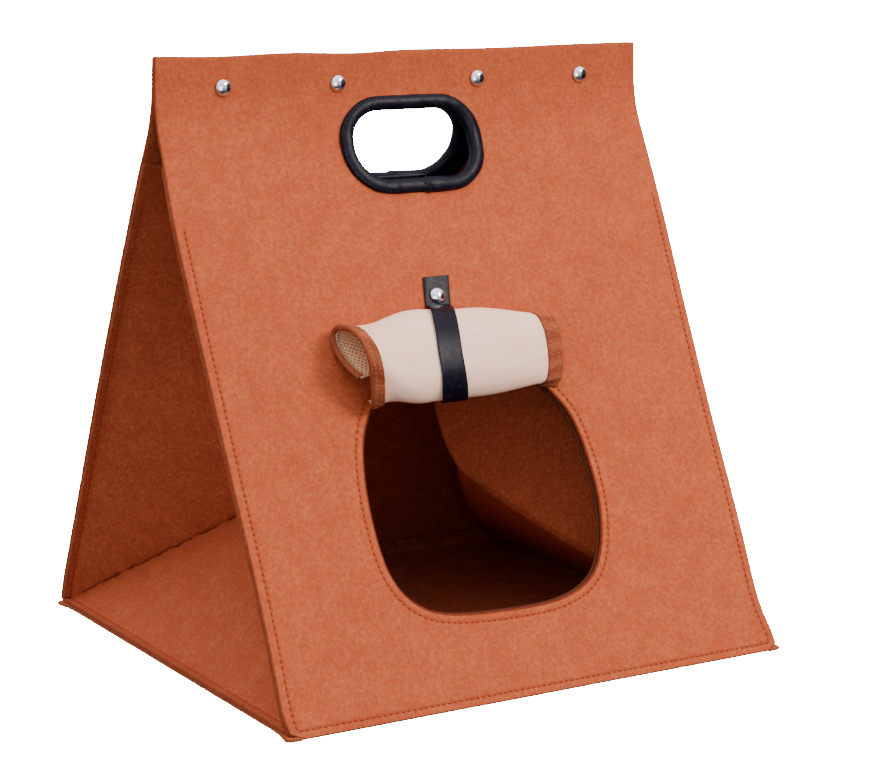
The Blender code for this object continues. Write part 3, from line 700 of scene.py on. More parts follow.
def felt_material(name, base, shade, tip, fuzz):
    """Needled felt: matted fibres in 1.4 mm clumps, a fine nap, soft mottling, darker where it is sewn down, and
    painted shade along the folds of the side sheets.
    """
    material, tree, shader = new_material(name, Roughness=0.95, Sheen_Weight=fuzz, Sheen_Roughness=0.5)
    shader.inputs["Sheen Tint"].default_value = linear("D98A62")
    shader.inputs["Specular IOR Level"].default_value = 0.12
    at = add_node(tree, "ShaderNodeTexCoord").outputs["Object"]
    grains = {}
    for grain, inputs in {
        "mottle": {"Scale": 55.0, "Detail": 2.5},
        "clump": {"Scale": 700.0, "Detail": 5.0, "Roughness": 0.7},
        "matted": {"Scale": 300.0, "Detail": 2.0},
        "bent": {"Scale": 24.0, "Detail": 6.0, "Distortion": 0.4},
        "broken": {"Scale": 70.0},
    }.items():
        grains[grain] = add_node(tree, "ShaderNodeTexNoise", {"Vector": at, **inputs}).outputs["Fac"]
    lying = []
    for turn, stretch in (((0.5, 0.3, 0.8), (1.0, 5.0, 1.0)), ((0.2, 0.9, -0.7), (5.0, 1.0, 1.0))):
        way = add_node(tree, "ShaderNodeMapping", {"Vector": at, "Rotation": turn, "Scale": stretch}).outputs[0]
        fibre = {"Vector": way, "Scale": 900.0, "Detail": 3.0, "Roughness": 0.7, "Distortion": 0.8}
        lying.append(add_node(tree, "ShaderNodeTexNoise", fibre).outputs["Fac"])
    fibres = add_node(tree, "ShaderNodeMath", {0: lying[0], 1: lying[1]}, operation="MAXIMUM").outputs[0]
    line = add_node(tree, "ShaderNodeMath", {0: grains["bent"], 1: 0.5, 2: 0.006}, operation="COMPARE").outputs[0]
    faint = add_node(tree, "ShaderNodeMapRange", spread(grains["broken"], 0.5, 0.7, 0.0, 0.30)).outputs[0]
    wrinkles = add_node(tree, "ShaderNodeMath", {0: line, 1: faint}, operation="MULTIPLY").outputs[0]
    # the seam layer: darker where sewn down, and painted shade along the side sheets' creases and folds
    sewn = add_node(tree, "ShaderNodeAttribute", attribute_name="seam").outputs["Fac"]
    layers = (
        (grains["mottle"], (0.32, 0.68), ALL, base),
        (grains["clump"], (0.38, 0.72), (0.0, 0.52), tip),
        (fibres, (0.60, 0.80), (0.0, 0.50), tip),
        (grains["matted"], (0.36, 0.66), (0.65, 0.0), shade),
        (wrinkles, ALL, ALL, WRINKLE),
        (sewn, ALL, (0.0, 0.75), SEWN_DOWN_AND_FOLD_SHADE),
    )
    nap = add_node(tree, "ShaderNodeMath", {0: grains["clump"], 1: fibres}, operation="ADD").outputs[0]
    dress(tree, shader, lay_colours(tree, shade, layers), nap, 0.6, 0.0005)
    return material


def leather_material():
    """Smooth coated leather: pebbles of 0.9 mm, a dull bluish sheen and paler scuffs on the raised places."""
    material, tree, shader = new_material("black_leather")
    shader.inputs["Specular IOR Level"].default_value = 0.13
    at = add_node(tree, "ShaderNodeTexCoord").outputs["Object"]
    grain = add_node(tree, "ShaderNodeTexVoronoi", {"Vector": at, "Scale": 1100.0}, feature="SMOOTH_F1")
    worn = {"Vector": at, "Scale": 160.0, "Detail": 5.0, "Roughness": 0.65}
    creased = add_node(tree, "ShaderNodeTexNoise", worn).outputs["Fac"]
    rubbed = {"Vector": at, "Scale": 300.0, "Detail": 6.0, "Roughness": 0.8}
    scuff = add_node(tree, "ShaderNodeTexNoise", rubbed).outputs["Fac"]
    layers = (
        (creased, (0.35, 0.7), ALL, linear("130F1E")),
        (scuff, (0.58, 0.76), (0.0, 0.45), linear("5A5070")),
    )
    dull = add_node(tree, "ShaderNodeMapRange", spread(scuff, 0.3, 0.8, 0.28, 0.55)).outputs[0]
    tree.links.new(dull, shader.inputs["Roughness"])
    height = add_node(tree, "ShaderNodeMath", {0: grain.outputs["Distance"], 1: creased}).outputs[0]
    dress(tree, shader, lay_colours(tree, linear("07050C"), layers), height, 0.22, 0.0003)
    return material


def tape_material(name, low, high):
    """Ribbed woven tape: ribs 2.4 mm apart across it, with threads 1 mm apart between them, on the flat UVs."""
    material, tree, shader = new_material(name, Roughness=0.9)
    shader.inputs["Specular IOR Level"].default_value = 0.15
    at = add_node(tree, "ShaderNodeUVMap", uv_map="flat").outputs[0]
    across = {"Vector": at, "Scale": 131.0, "Distortion": 0.6}
    ribs = add_node(tree, "ShaderNodeTexWave", across, bands_direction="Y").outputs["Fac"]
    threads = add_node(tree, "ShaderNodeTexWave", {"Vector": at, "Scale": 314.0, "Distortion": 1.0}).outputs["Fac"]
    weave = add_node(tree, "ShaderNodeMath", {0: ribs, 1: threads}, operation="MULTIPLY").outputs[0]
    worn = add_node(tree, "ShaderNodeTexNoise", {"Vector": at, "Scale": 160.0, "Detail": 4.0}).outputs["Fac"]
    layers = ((weave, ALL, ALL, high), (worn, (0.4, 0.7), (0.0, 0.45), low))
    dress(tree, shader, lay_colours(tree, low, layers), weave, 0.6, 0.0004)
    return material


def mesh_face_material():
    """The cream face of the spacer mesh: a close knit with wales 0.8 mm apart, and faint darker streaks along the
    roll, painted shade of soft wrinkles.
    """
    material, tree, shader = new_material("air_mesh_face", Roughness=0.75, Sheen_Weight=0.35)
    shader.inputs["Sheen Tint"].default_value = linear("FFC8A0")
    at = add_node(tree, "ShaderNodeUVMap", uv_map="flat").outputs[0]
    knitted = {"Vector": at, "Scale": 390.0, "Distortion": 1.2, "Detail": 2.0}
    wales = add_node(tree, "ShaderNodeTexWave", knitted).outputs["Fac"]
    knit = add_node(tree, "ShaderNodeTexNoise", {"Vector": at, "Scale": 1300.0, "Detail": 3.0}).outputs["Fac"]
    along = add_node(tree, "ShaderNodeMapping", {"Vector": at, "Scale": (0.22, 1.0, 1.0)}).outputs[0]
    # painted shade: darker streaks stretched along the roll, standing for soft wrinkles
    wrinkle_shade = add_node(tree, "ShaderNodeTexNoise", {"Vector": along, "Scale": 90.0, "Detail": 4.0}).outputs["Fac"]
    layers = (
        (wrinkle_shade, (0.42, 0.72), (0.0, 0.8), linear("F8C29C")),
        (knit, (0.35, 0.7), (0.0, 0.3), linear("F4BE9E")),
    )
    height = add_node(tree, "ShaderNodeMath", {0: wales, 1: 0.35, 2: knit}, operation="MULTIPLY_ADD").outputs[0]
    dress(tree, shader, lay_colours(tree, linear("FFD4B6"), layers), height, 0.3, 0.0003)
    return material


def mesh_back_material(cell):
    """The back of the spacer mesh: a honeycomb of tan threads round open cells that show the brown yarn inside."""
    material, tree, shader = new_material("air_mesh_back", Roughness=0.8, Sheen_Weight=0.2)
    at = add_node(tree, "ShaderNodeUVMap", uv_map="flat").outputs[0]
    box = (cell, cell * math.sqrt(3), 1.0)
    nearest = None
    for shift in ((0.0, 0.0, 0.0), (cell / 2, cell * math.sqrt(3) / 2, 0.0)):
        moved = at
        for operation, other in (
            ("ADD", shift),
            ("DIVIDE", box),
            ("FRACTION", (0.0, 0.0, 0.0)),
            ("SUBTRACT", (0.5, 0.5, 0.0)),
            ("MULTIPLY", box),
        ):
            moved = add_node(tree, "ShaderNodeVectorMath", {0: moved, 1: other}, operation=operation).outputs[0]
        length = add_node(tree, "ShaderNodeVectorMath", {0: moved}, operation="LENGTH").outputs["Value"]
        if nearest is not None:
            length = add_node(tree, "ShaderNodeMath", {0: nearest, 1: length}, operation="MINIMUM").outputs[0]
        nearest = length
    thread = add_node(tree, "ShaderNodeMapRange", spread(nearest, cell * 0.20, cell * 0.40)).outputs[0]
    fuzz = add_node(tree, "ShaderNodeTexNoise", {"Vector": at, "Scale": 1500.0, "Detail": 3.0}).outputs["Fac"]
    layers = (
        (thread, ALL, ALL, linear("FFC890")),
        (fuzz, (0.4, 0.8), (0.0, 0.4), linear("F2CC98")),
    )
    dress(tree, shader, lay_colours(tree, linear("B86830"), layers), thread, 0.8, 0.0006)
    return material


def thread_material(name, colour):
    """Twisted sewing thread with a slight shine."""
    material, tree, shader = new_material(name, Roughness=0.65)
    shader.inputs["Specular IOR Level"].default_value = 0.2
    at = add_node(tree, "ShaderNodeTexCoord").outputs["Object"]
    ply = add_node(tree, "ShaderNodeTexNoise", {"Vector": at, "Scale": 2500.0, "Detail": 2.0}).outputs["Fac"]
    dull = tuple(c * 0.6 for c in colour[:3]) + (1.0,)
    tree.links.new(lay_colours(tree, dull, [(ply, ALL, ALL, colour)]), shader.inputs["Base Color"])
    return material


def nickel_material():
    """Polished plated metal with faint hairline wear."""
    material, tree, shader = new_material("nickel", Metallic=1.0)
    shader.inputs["Base Color"].default_value = (0.76, 0.76, 0.78, 1.0)
    at = add_node(tree, "ShaderNodeTexCoord").outputs["Object"]
    wear = add_node(tree, "ShaderNodeTexNoise", {"Vector": at, "Scale": 700.0, "Detail": 5.0}).outputs["Fac"]
    dull = add_node(tree, "ShaderNodeMapRange", spread(wear, 0.3, 0.8, 0.08, 0.24)).outputs[0]
    tree.links.new(dull, shader.inputs["Roughness"])
    return material


felt = felt_material("felt", linear("B5532E"), linear("A54424"), linear("C97852"), 0.08)
# The cut edges get darker copies of the felt: painted shade on the edges, darkest in the door hole and along the
# bottom of the panels.
shaded_cut_edge = felt_material("felt_cut_edge_shaded", linear("A04A28"), linear("883A1E"), linear("B9633E"), 0.03)
hole_edge_shade = felt_material("felt_hole_edge_shade", linear("7C3018"), linear("6A2612"), linear("8E4426"), 0.03)
tape = tape_material("binding_tape", linear("823C22"), linear("C87048"))
facing_tape = tape_material("facing_tape", linear("421C10"), linear("783C24"))
mesh_face = mesh_face_material()
mesh_back = mesh_back_material(0.0036)
leather = leather_material()
nickel = nickel_material()
felt_thread = thread_material("felt_thread", linear("B03C12"))
dark_thread = thread_material("dark_thread", linear("3A3742"))
tape_thread = thread_material("tape_thread", linear("D08A5E"))
pale_thread = thread_material("pale_thread", linear("E3C4A8"))


# ------------------------------------------------------------ panels
PANEL_GRID = 0.004
OUTLINE_START, OUTLINE_STEP = 0.0045, 0.008
FOOT_CORNER = 0.1905  # where the bottom edge ends, inside the floor's corner
TOP_CORNER = 0.004
SEAM_STITCH_INSET = 0.0066
SEAM_ROWS = (0.006, 0.356)
DOOR_STITCH_OUT = 0.0062
SEAM_POINTS = 0.0011


def panel_outline(sides):
    """Counter-clockwise from the lower left, its lower corners cut off beside the floor's."""
    heights = [OUTLINE_START + OUTLINE_STEP * i for i in range(57)]
    heights = [s for s in heights if s < PANEL_LENGTH - TOP_CORNER]
    left, right = ([(table_value(sides, s, column), s) for s in heights] for column in (1, 2))
    sag = ((-0.2, 0.0),) + TOP_SAG + ((0.2, 0.0),)
    top = [(x, PANEL_LENGTH - table_value(sag, x, 1)) for x in (0.196 - OUTLINE_STEP * i for i in range(50))]
    ends = [(sides[-1][2] - 0.0003, PANEL_LENGTH - 0.0004), (sides[-1][1] + 0.0003, PANEL_LENGTH - 0.0004)]
    return [(-FOOT_CORNER, 0.0), (FOOT_CORNER, 0.0)] + right + ends[:1] + top + ends[1:] + left[::-1]


def seam_lines(sides, with_door):
    """The rows of stitches on a panel: up both sides, along the bottom, and round the door hole."""
    low, high = SEAM_ROWS
    heights = [s for s in (low + 0.004 * i for i in range(90)) if s < high]
    left = [(table_value(sides, s, 1) + SEAM_STITCH_INSET, s) for s in heights]
    right = [(table_value(sides, s, 2) - SEAM_STITCH_INSET, s) for s in heights]
    lines = [(left, False), (right, False), ([(left[0][0], low), (right[0][0], low)], False)]
    if with_door:
        lines.append((offset_loop(door_loop(4), DOOR_STITCH_OUT), True))
    return lines


def mark_cut_edges(bm):
    """Gives the faces of the cut edges the second material, a darker copy of the felt that paints shade on them."""
    cut = bm.verts.layers.float["cut"]
    for face in bm.faces:
        face.material_index = 1 if sum(v[cut] for v in face.verts) / len(face.verts) > 0.3 else 0


def build_panel(name, node, side, sides, holes, with_door):
    """A panel and its stitches. Its edge in the door hole and its bottom edge get the darkest copy of the felt,
    painted shade.
    """
    lines = []
    for line, closed in seam_lines(sides, with_door):
        points = [tuple(p) for p in even_points(line, SEAM_POINTS, closed)]
        lines.append(points + points[: 1 if closed else 0])
    bm = cut_felt(panel_outline(sides), holes, PANEL_GRID, lines)
    rim = bm.verts.layers.float["rim"]
    close_felt(bm)
    mark_cut_edges(bm)
    for face in bm.faces:
        x, s, _ = face.verts[0].co
        # painted shade: the darkest felt on the cut edge in the door hole and on the bottom edge
        farthest = max(v[rim] for v in face.verts)
        if with_door and abs(x - ARCH_CENTRE) < 0.11 and 0.05 < s < ARCH_TOP + 0.004:
            face.material_index = 2 if farthest < 0.0017 else 0
        elif s < 0.003 and farthest < 0.0009:
            face.material_index = 2
    for v in bm.verts:
        v.co = on_panel(side, *v.co)
    bmesh.ops.recalc_face_normals(bm, faces=bm.faces)
    panel = add_piece(name, bm, [felt, shaded_cut_edge, hole_edge_shade], [node])
    threads = [line_on_panel(side, line) for line in lines]
    return panel, [add_stitches(f"{name}_stitches", threads, felt_thread, "felt")]


door_edge = [tuple(p) for p in even_points(door_loop(6), POINT_GAP, closed=True)]
holes = [door_loop(4), handle_loop()]
front, front_stitches = build_panel("front_felt", "front_panel", -1, FRONT_SIDES, holes, True)
back, back_stitches = build_panel("back_felt", "back_panel", 1, BACK_SIDES, holes[1:], False)


# ------------------------------------------------------------ floor
FLOOR_GRID = 0.008
FOLD_RADIUS = 0.0035
FOLD_STEPS = 8
BORDER_UP = 0.008
BORDER_END = 0.0105
BORDER_SLIT = 0.002
FLOOR_CORNER = ((-0.0020, 0.0005), (0.0025, 0.0020), (0.0035, 0.0055), (0.0010, 0.0165), (0.0000, 0.0305))
CORNER_START = WIDTH / 2 - SEAM - 0.002 + 2 * GAP


def build_floor():
    """The floor, with its front and back borders turned up inside the panels."""
    border = on_panel(1, 0, 0, INNER_LAYER - FELT / 2)
    meets = border.y + (border.z - FELT / 2) / math.tan(LEAN)
    turn = math.pi - LEAN
    flat_end = meets - FOLD_RADIUS * math.tan(turn / 2)
    reach = flat_end + FOLD_RADIUS * turn + BORDER_UP
    border_end = WIDTH / 2 - BORDER_END
    slit = flat_end - BORDER_SLIT
    corner = [(WIDTH / 2 + out, DEPTH / 2 - inwards) for out, inwards in FLOOR_CORNER]
    quarter = [(border_end, reach), (border_end, slit), (CORNER_START, slit), (CORNER_START, corner[0][1])] + corner
    loop = [(x, -y) for x, y in quarter] + [(x, y) for x, y in reversed(quarter)]
    loop += [(-x, y) for x, y in quarter] + [(-x, -y) for x, y in reversed(quarter)]

    def fold(x, v, t):
        side = 1 if v > 0 else -1
        past = abs(v) - flat_end
        height = FELT + t
        if past <= 0 or abs(x) > (border_end + CORNER_START) / 2:
            return Vector((x, v, height))
        angle = min(past / FOLD_RADIUS, turn)
        radius = FOLD_RADIUS - (height - FELT / 2)
        straight = max(0.0, past - FOLD_RADIUS * turn)
        away = flat_end + radius * math.sin(angle) + straight * math.cos(angle)
        up = FELT / 2 + FOLD_RADIUS - radius * math.cos(angle) + straight * math.sin(angle)
        return Vector((x, side * away, up))

    folds = [flat_end + FOLD_RADIUS * turn * i / FOLD_STEPS for i in range(FOLD_STEPS + 1)]
    bm = cut_felt(loop, [], FLOOR_GRID, [], rim=RIM[7:], extra=[sign * y for y in folds for sign in (-1, 1)])
    close_felt(bm)
    mark_cut_edges(bm)
    for v in bm.verts:
        v.co = fold(*v.co)
    bmesh.ops.recalc_face_normals(bm, faces=bm.faces)
    return add_piece("floor_felt", bm, [felt, shaded_cut_edge], ["floor_panel"])


floor = build_floor()


# ------------------------------------------------------------ folded sides
BORDER_CELLS, WING_CELLS, CREASE_CELLS, FACET_CELLS, GUSSET_CELLS = 5, 22, 6, 30, 160
CREASE_BAND = 0.006
CREASE_PARTS = 40
STITCH_INSET = 0.0052
# beside a crease: how far the felt is moved, and how far from the crease that fades
PUCKER = (0.0026, 0.007)
CREASE_GROOVE = (0.0019, 0.0015)
CREASE_WANDER = (0.0022, 0.008)
# painted shade along the creases and beside the folds: how far each reaches
CREASE_SHADE_WIDTH = 0.0019
FOLD_SHADE_WIDTH = 0.018
FOLD_REACH = 0.12  # beyond this a fold changes nothing
CREASE_FADES = ((0.02, 0.08), (0.90, 1.0))  # at its bottom and at the apex
PAST_MIDDLE = 0.02  # a point this far past the middle belongs to the other crease
SEAM_MARGIN = 0.003  # next to the sewn borders nothing is moved
FLOOR_STITCHES = (0.03, 0.94)  # from, and how much of the seam's length


def near_fold(at, towards):
    """A point close to a fold, on the way towards another point."""
    length = (towards - at).length
    return at.lerp(towards, min(0.4, CREASE_BAND / length) if length > 1e-6 else 0.4)


def build_gusset(name, node, sign, which):
    """One sheet: a border on the panels and on the floor, two wings, and a lower facet that rises inwards.

    The diagonal creases are puckered, and painted shade darkens the felt in them and beside the folds.
    """
    half = WIDTH / 2
    apex_height = GUSSET_APEX_HEIGHT[which]
    layer = INNER_LAYER - FELT / 2
    floor_layer = FELT + GAP + FELT / 2
    row_zero = (floor_layer - on_panel(1, 0, 0, layer).z) / math.sin(LEAN)
    inwards = math.sqrt((DEPTH / 2) ** 2 - apex_height**2)
    apex = Vector((sign * (half - inwards), 0, apex_height))

    def edge(side, s, inset, t=layer):
        table = FRONT_SIDES if side < 0 else BACK_SIDES
        x = table_value(table, s, 2 if sign > 0 else 1)
        return on_panel(side, x - sign * inset, s, t)

    def crease(side, s):
        if s <= APEX_S:
            share = (s - row_zero) / (APEX_S - row_zero)
            sag = CREASE_SAG[which] * math.sin(math.pi * share**1.5)
            return edge(side, row_zero, SEAM).lerp(apex, share) - Vector((0, 0, sag))
        up = lerp(0, GUSSET_TOP[1] - apex.z, (s - APEX_S) / (GUSSET_HEIGHT - APEX_S))
        return apex + Vector((-sign * table_value(CREST_PATHS[which], up, 1), 0, up))

    cells = (BORDER_CELLS, WING_CELLS, CREASE_CELLS, CREASE_CELLS, FACET_CELLS)
    cells += (CREASE_CELLS, CREASE_CELLS, WING_CELLS, BORDER_CELLS)
    ends = [sum(cells[:i]) / sum(cells) for i in range(len(cells) + 1)]

    def where(u, v):
        s = lerp(row_zero, GUSSET_HEIGHT, v)
        i = max(k for k in range(len(cells)) if ends[k] <= u + 1e-9)
        share = (u - ends[i]) / (ends[i + 1] - ends[i])
        sewn, folds = [edge(side, s, SEAM) for side in (-1, 1)], [crease(side, s) for side in (-1, 1)]
        stops = (
            edge(-1, s, GUSSET_INSET),
            sewn[0],
            near_fold(folds[0], sewn[0]),
            folds[0],
            near_fold(folds[0], folds[1]),
            near_fold(folds[1], folds[0]),
            folds[1],
            near_fold(folds[1], sewn[1]),
            sewn[1],
            edge(1, s, GUSSET_INSET),
        )
        return stops[i].lerp(stops[i + 1], share)

    def on_floor(u, v):
        outer = edge(-1, row_zero, GUSSET_INSET).lerp(edge(1, row_zero, GUSSET_INSET), u)
        sewn = edge(-1, row_zero, SEAM).lerp(edge(1, row_zero, SEAM), u)
        return outer.lerp(sewn, v)

    bm = mapped_grid(sum(cells), GUSSET_CELLS, where)
    strip = mapped_grid(FACET_CELLS + 2 * CREASE_CELLS, BORDER_CELLS, on_floor)
    mesh = bpy.data.meshes.new("strip")
    strip.to_mesh(mesh)
    strip.free()
    bm.from_mesh(mesh)
    bpy.data.meshes.remove(mesh)
    bmesh.ops.remove_doubles(bm, verts=bm.verts, dist=1e-5)
    seam = bm.verts.layers.float.new("seam")
    inner = [v for v in bm.verts if not v.is_boundary and SEAM + SEAM_MARGIN < half - abs(v.co.x)]
    for _ in range(3):
        bmesh.ops.smooth_vert(bm, verts=inner, factor=0.5, use_axis_x=True, use_axis_y=True, use_axis_z=True)
    bmesh.ops.recalc_face_normals(bm, faces=bm.faces)
    bm.normal_update()
    lines = []
    for side in (-1, 1):
        for k in range(CREASE_PARTS):
            at = [lerp(row_zero, APEX_S, (k + i) / CREASE_PARTS) for i in (0, 1)]
            lines.append((crease(side, at[0]), crease(side, at[1]), side, k))
    moves = []
    for v in inner:
        best = None
        for a, b, side, k in lines:
            if v.co.y * side < -PAST_MIDDLE:
                continue
            share = min(1.0, max(0.0, geometry.intersect_point_line(v.co, a, b)[1]))
            off = (v.co - a.lerp(b, share)).length
            if best is None or off < best[0]:
                best = (off, (k + share) / CREASE_PARTS, side)
        off, walked, side = best
        if off > FOLD_REACH:
            continue
        ends_fade = smooth_step(CREASE_FADES[0], walked) * (1 - smooth_step(CREASE_FADES[1], walked))
        outwards = v.normal if v.normal.x * sign > 0 else -v.normal
        at = Vector((walked * 30, side * 5, 7 + sign))
        pucker = PUCKER[0] * PUCKERED[which] * noise.noise(at) * math.exp(-off / PUCKER[1])
        groove = CREASE_GROOVE[0] * math.exp(-((off / CREASE_GROOVE[1]) ** 2))
        wavy = noise.noise(at + Vector((40, 0, 0))) + 0.5 * noise.noise(at * 3)
        wander = CREASE_WANDER[0] * PUCKERED[which] * wavy * math.exp(-off / CREASE_WANDER[1])
        # painted shade: a narrow dark line along the crease, and a broad one beside the fold
        sewn = ends_fade * (0.85 + 0.5 * noise.noise(at * 2)) * math.exp(-((off / CREASE_SHADE_WIDTH) ** 2))
        v[seam] = max(sewn, FOLD_SHADE[which] * math.exp(-off / FOLD_SHADE_WIDTH))
        moves.append((v, outwards * (pucker - groove) * ends_fade + Vector((0, 0, wander * ends_fade))))
    for v, move in moves:
        v.co += move
    made = add_piece(name, bm, [felt, shaded_cut_edge], [node])
    add_thickness(made, FELT, even=False).material_offset_rim = 1
    wear_edges(made, 0.0006)

    inside = INNER_LAYER - FELT
    up = Vector((0, 0, 1))
    threads = []
    for side in (-1, 1):
        heights = [0.010 + 0.002 * k for k in range(180)]
        layers = [[edge(side, s, STITCH_INSET, t) for s in heights] for t in (inside, inside + 0.001)]
        threads.append([(p, p - deeper) for p, deeper in zip(*layers)])
    start, span = FLOOR_STITCHES
    along_floor = [on_floor(start + span * k / 180, STITCH_INSET / SEAM) for k in range(181)]
    threads.append([(p + up * FELT / 2, up) for p in along_floor])
    return made, add_stitches(f"{name}_stitches", threads, felt_thread, "felt")


gusset_left, threads_left = build_gusset("gusset_left_felt", "gusset_left", -1, "left")
gusset_right, threads_right = build_gusset("gusset_right_felt", "gusset_right", 1, "right")


# ------------------------------------------------------------ door
UNDERSIDE_LIFT = 0.0030  # under the strap, where it pulls the roll up
UNDERSIDE_SAG = 0.0022  # between the strap and the open end
TOP_OF_ROLL = (0.252, 0.268)
TOP_SWELLS = ((-0.045, 0.022, 0.0024), (-0.078, 0.012, -0.0010))  # x, how wide, how high
RIB_PITCH = 0.0026
RIB_HEIGHT = 0.0003
PLEAT_HEIGHT = 0.0004


def roll_middle(across, f):
    """Where the middle of the rolled cloth lies: x, s and t."""
    row = smooth_rows(ROLL, f)
    x = lerp(row[0], row[5], across)
    under_strap = (row[3], row[4])
    sag = 0.0
    if x < STRAP_REACH[0]:
        end, share = (row[1], row[2]), (STRAP_REACH[0] - x) / (STRAP_REACH[0] - row[0])
        sag = UNDERSIDE_SAG * math.sin(math.pi * share)
    elif x > STRAP_REACH[1]:
        end, share = (row[6], row[7]), (x - STRAP_REACH[1]) / (row[5] - STRAP_REACH[1])
    else:
        end, share = under_strap, 0.0
    share = share * share * (2 - share)
    s, t = (lerp(a, b, share) for a, b in zip(under_strap, end))
    s += (UNDERSIDE_LIFT * (1 - share) - sag) * (1 - smooth_step(LOW_ON_ROLL, s))
    for place, width, height in TOP_SWELLS:
        s += height * math.exp(-(((x - place) / width) ** 2)) * smooth_step(TOP_OF_ROLL, s)
    sewn = max(0.0, 1 - f * (len(ROLL) - 1) / 2)
    return x, lerp(s, arch_height(x) + SEWN_ABOVE, sewn), t


def step_off(path, f, n):
    """How much s and t change n out from the side of path, a function of f whose last two values are s and t."""
    before, after = path(max(0.0, f - SLOPE_STEP)), path(min(1.0, f + SLOPE_STEP))
    along = Vector((after[-2] - before[-2], after[-1] - before[-1])).normalized()
    return -along.y * n, along.x * n


def roll_point(across, f, n):
    """A point of the rolled door: across from 0 at its left edge to 1, f along it, n out from its middle."""
    x, s, t = roll_middle(across, f)
    band = 1 - BINDING_SHARES["right"]
    n -= PINCH * smooth_step((band - 0.012, band + 0.006), across) * smooth_step((BINDING_START, 0.24), f)
    ds, dt = step_off(lambda f: roll_middle(across, f), f, n)
    return on_panel(-1, x, s + ds, t + dt)


def rib(u, v):
    """The raised ribs of a tape, and the pleats where it is drawn in."""
    pleat = noise.noise(Vector((u * 5, v * 50, 3)))
    return RIB_HEIGHT * math.sin(2 * math.pi * v * TAPE_LENGTH / RIB_PITCH) + PLEAT_HEIGHT * pleat


def build_facing():
    """The tape round the inside of the door hole."""
    far, near = offset_loop(door_edge, FACING_OUTER), offset_loop(door_edge, -FACING_INNER)

    def on_facing(u, v):
        i = round(v * len(door_edge)) % len(door_edge)
        p = Vector(near[i]).lerp(Vector(far[i]), u)
        return on_panel(-1, p.x, p.y, INNER_LAYER - FACING / 2)

    bm = mapped_grid(5, len(door_edge), on_facing)
    scale_uvs(bm, (FACING_OUTER + FACING_INNER, 0.62))
    add_thickness(add_piece("door_facing_tape", bm, [facing_tape], ["door_facing"]), FACING)


def build_binding(side):
    """The tape folded round one edge of the door, and its two rows of stitches."""
    share = BINDING_SHARES[side]
    reach = AIR_MESH / 2 + GAP + BINDING / 2
    turn = math.pi * reach

    def from_edge(inside, f, n):
        return roll_point(inside if side == "left" else 1 - inside, f, n)

    def round_edge(u, v):
        f = lerp(BINDING_START, 1.0, v)
        row = smooth_rows(ROLL, f)
        width = share * (row[5] - row[0])
        walked = u * (1.12 * width + turn)
        if walked < width:
            inside, n = width - walked, reach + rib(u, v)
        elif walked < width + turn:
            angle = (walked - width) / reach
            inside, n = -reach * math.sin(angle), reach * math.cos(angle)
        else:
            inside, n = walked - width - turn, -reach
        return from_edge(inside / (row[5] - row[0]), f, n)

    bm = mapped_grid(24, 620, round_edge)
    scale_uvs(bm, (2 * share * DOOR_WIDTH + turn, TAPE_LENGTH))
    binding = add_piece(f"door_edge_tape_{side}", bm, [tape], [f"door_binding_{side}"])
    add_thickness(binding, BINDING)
    threads = []
    for inside in (0.22, 0.72):
        line = []
        for k in range(400):
            f = lerp(BINDING_START, 0.998, k / 399)
            p = from_edge(inside * share, f, reach + BINDING / 2)
            line.append((p, (p - from_edge(inside * share, f, 0.0)).normalized()))
        threads.append(line)
    stitched = {"pitch": 0.0032, "length": 0.0021, "thick": 0.0008}
    return [binding, add_stitches(f"door_edge_stitches_{side}", threads, tape_thread, "binding_tape", **stitched)]


def build_door():
    """The rolled door: one face cream and smooth, the other an open honeycomb."""
    bm = mapped_grid(72, 260, lambda u, v: roll_point(u, v, 0.0))
    scale_uvs(bm, (DOOR_WIDTH, 0.30))
    cloth = add_piece("door_mesh_cloth", bm, [mesh_face, mesh_back], ["door_flap"])
    add_thickness(cloth, AIR_MESH).material_offset = 1
    return cloth


OVERLOCK_LOOPS = 118
OVERLOCK_REACH = (0.0002, 0.0034)  # from the cloth's edge
OVERLOCK_THREAD = (0.00032, 0.00030)


def build_overlock():
    """Pale thread loops over the inner edge of the left tape, one every 1.3 mm."""
    bm = bmesh.new()
    lift = AIR_MESH / 2 + GAP + BINDING
    for i in range(OVERLOCK_LOOPS):
        f = lerp(BINDING_START + 0.02, 0.995, (i + 0.5) / OVERLOCK_LOOPS)
        row = smooth_rows(ROLL, f)
        near, middle, far = (reach / (row[5] - row[0]) for reach in (OVERLOCK_REACH[0], 0.001, OVERLOCK_REACH[1]))
        a, b = roll_point(near, f, -lift), roll_point(far, f, -lift + 0.0004)
        out = (roll_point(middle, f, -lift - 0.001) - roll_point(middle, f, -lift)).normalized()
        add_thread(bm, (a + b) / 2, (b - a).normalized(), out, ((b - a).length / 2, *OVERLOCK_THREAD))
    return add_piece("door_overlock_thread", bm, [pale_thread])


build_facing()
door_cloth = build_door()
bindings = build_binding("left") + build_binding("right") + [build_overlock()]


# ------------------------------------------------------------ strap
STRAP_NARROWING = 0.08
STRAP_NARROW = ((0.40, 0.50), (0.66, 0.76))
STRAP_TILT = 0.0024  # over the top of the roll its left side lies this much higher


def strap_point(across, f, n):
    """A point of the strap: across from 0 to 1, f along it, n out from its middle."""
    x, s, t = smooth_rows(STRAP_PATH, f)
    narrow = smooth_step(STRAP_NARROW[0], f) * (1 - smooth_step(STRAP_NARROW[1], f))
    width = STRAP_WIDTH * (1 - STRAP_NARROWING * narrow)
    s += UNDERSIDE_LIFT * (1 - smooth_step(LOW_ON_ROLL, s))
    s += STRAP_TILT * (1 - across) * smooth_step((0.250, 0.266), s) * smooth_step((0.0040, 0.0120), t)
    ds, dt = step_off(lambda f: smooth_rows(STRAP_PATH, f), f, n)
    return on_panel(-1, x + (across - 0.5) * width, s + ds, t + dt)


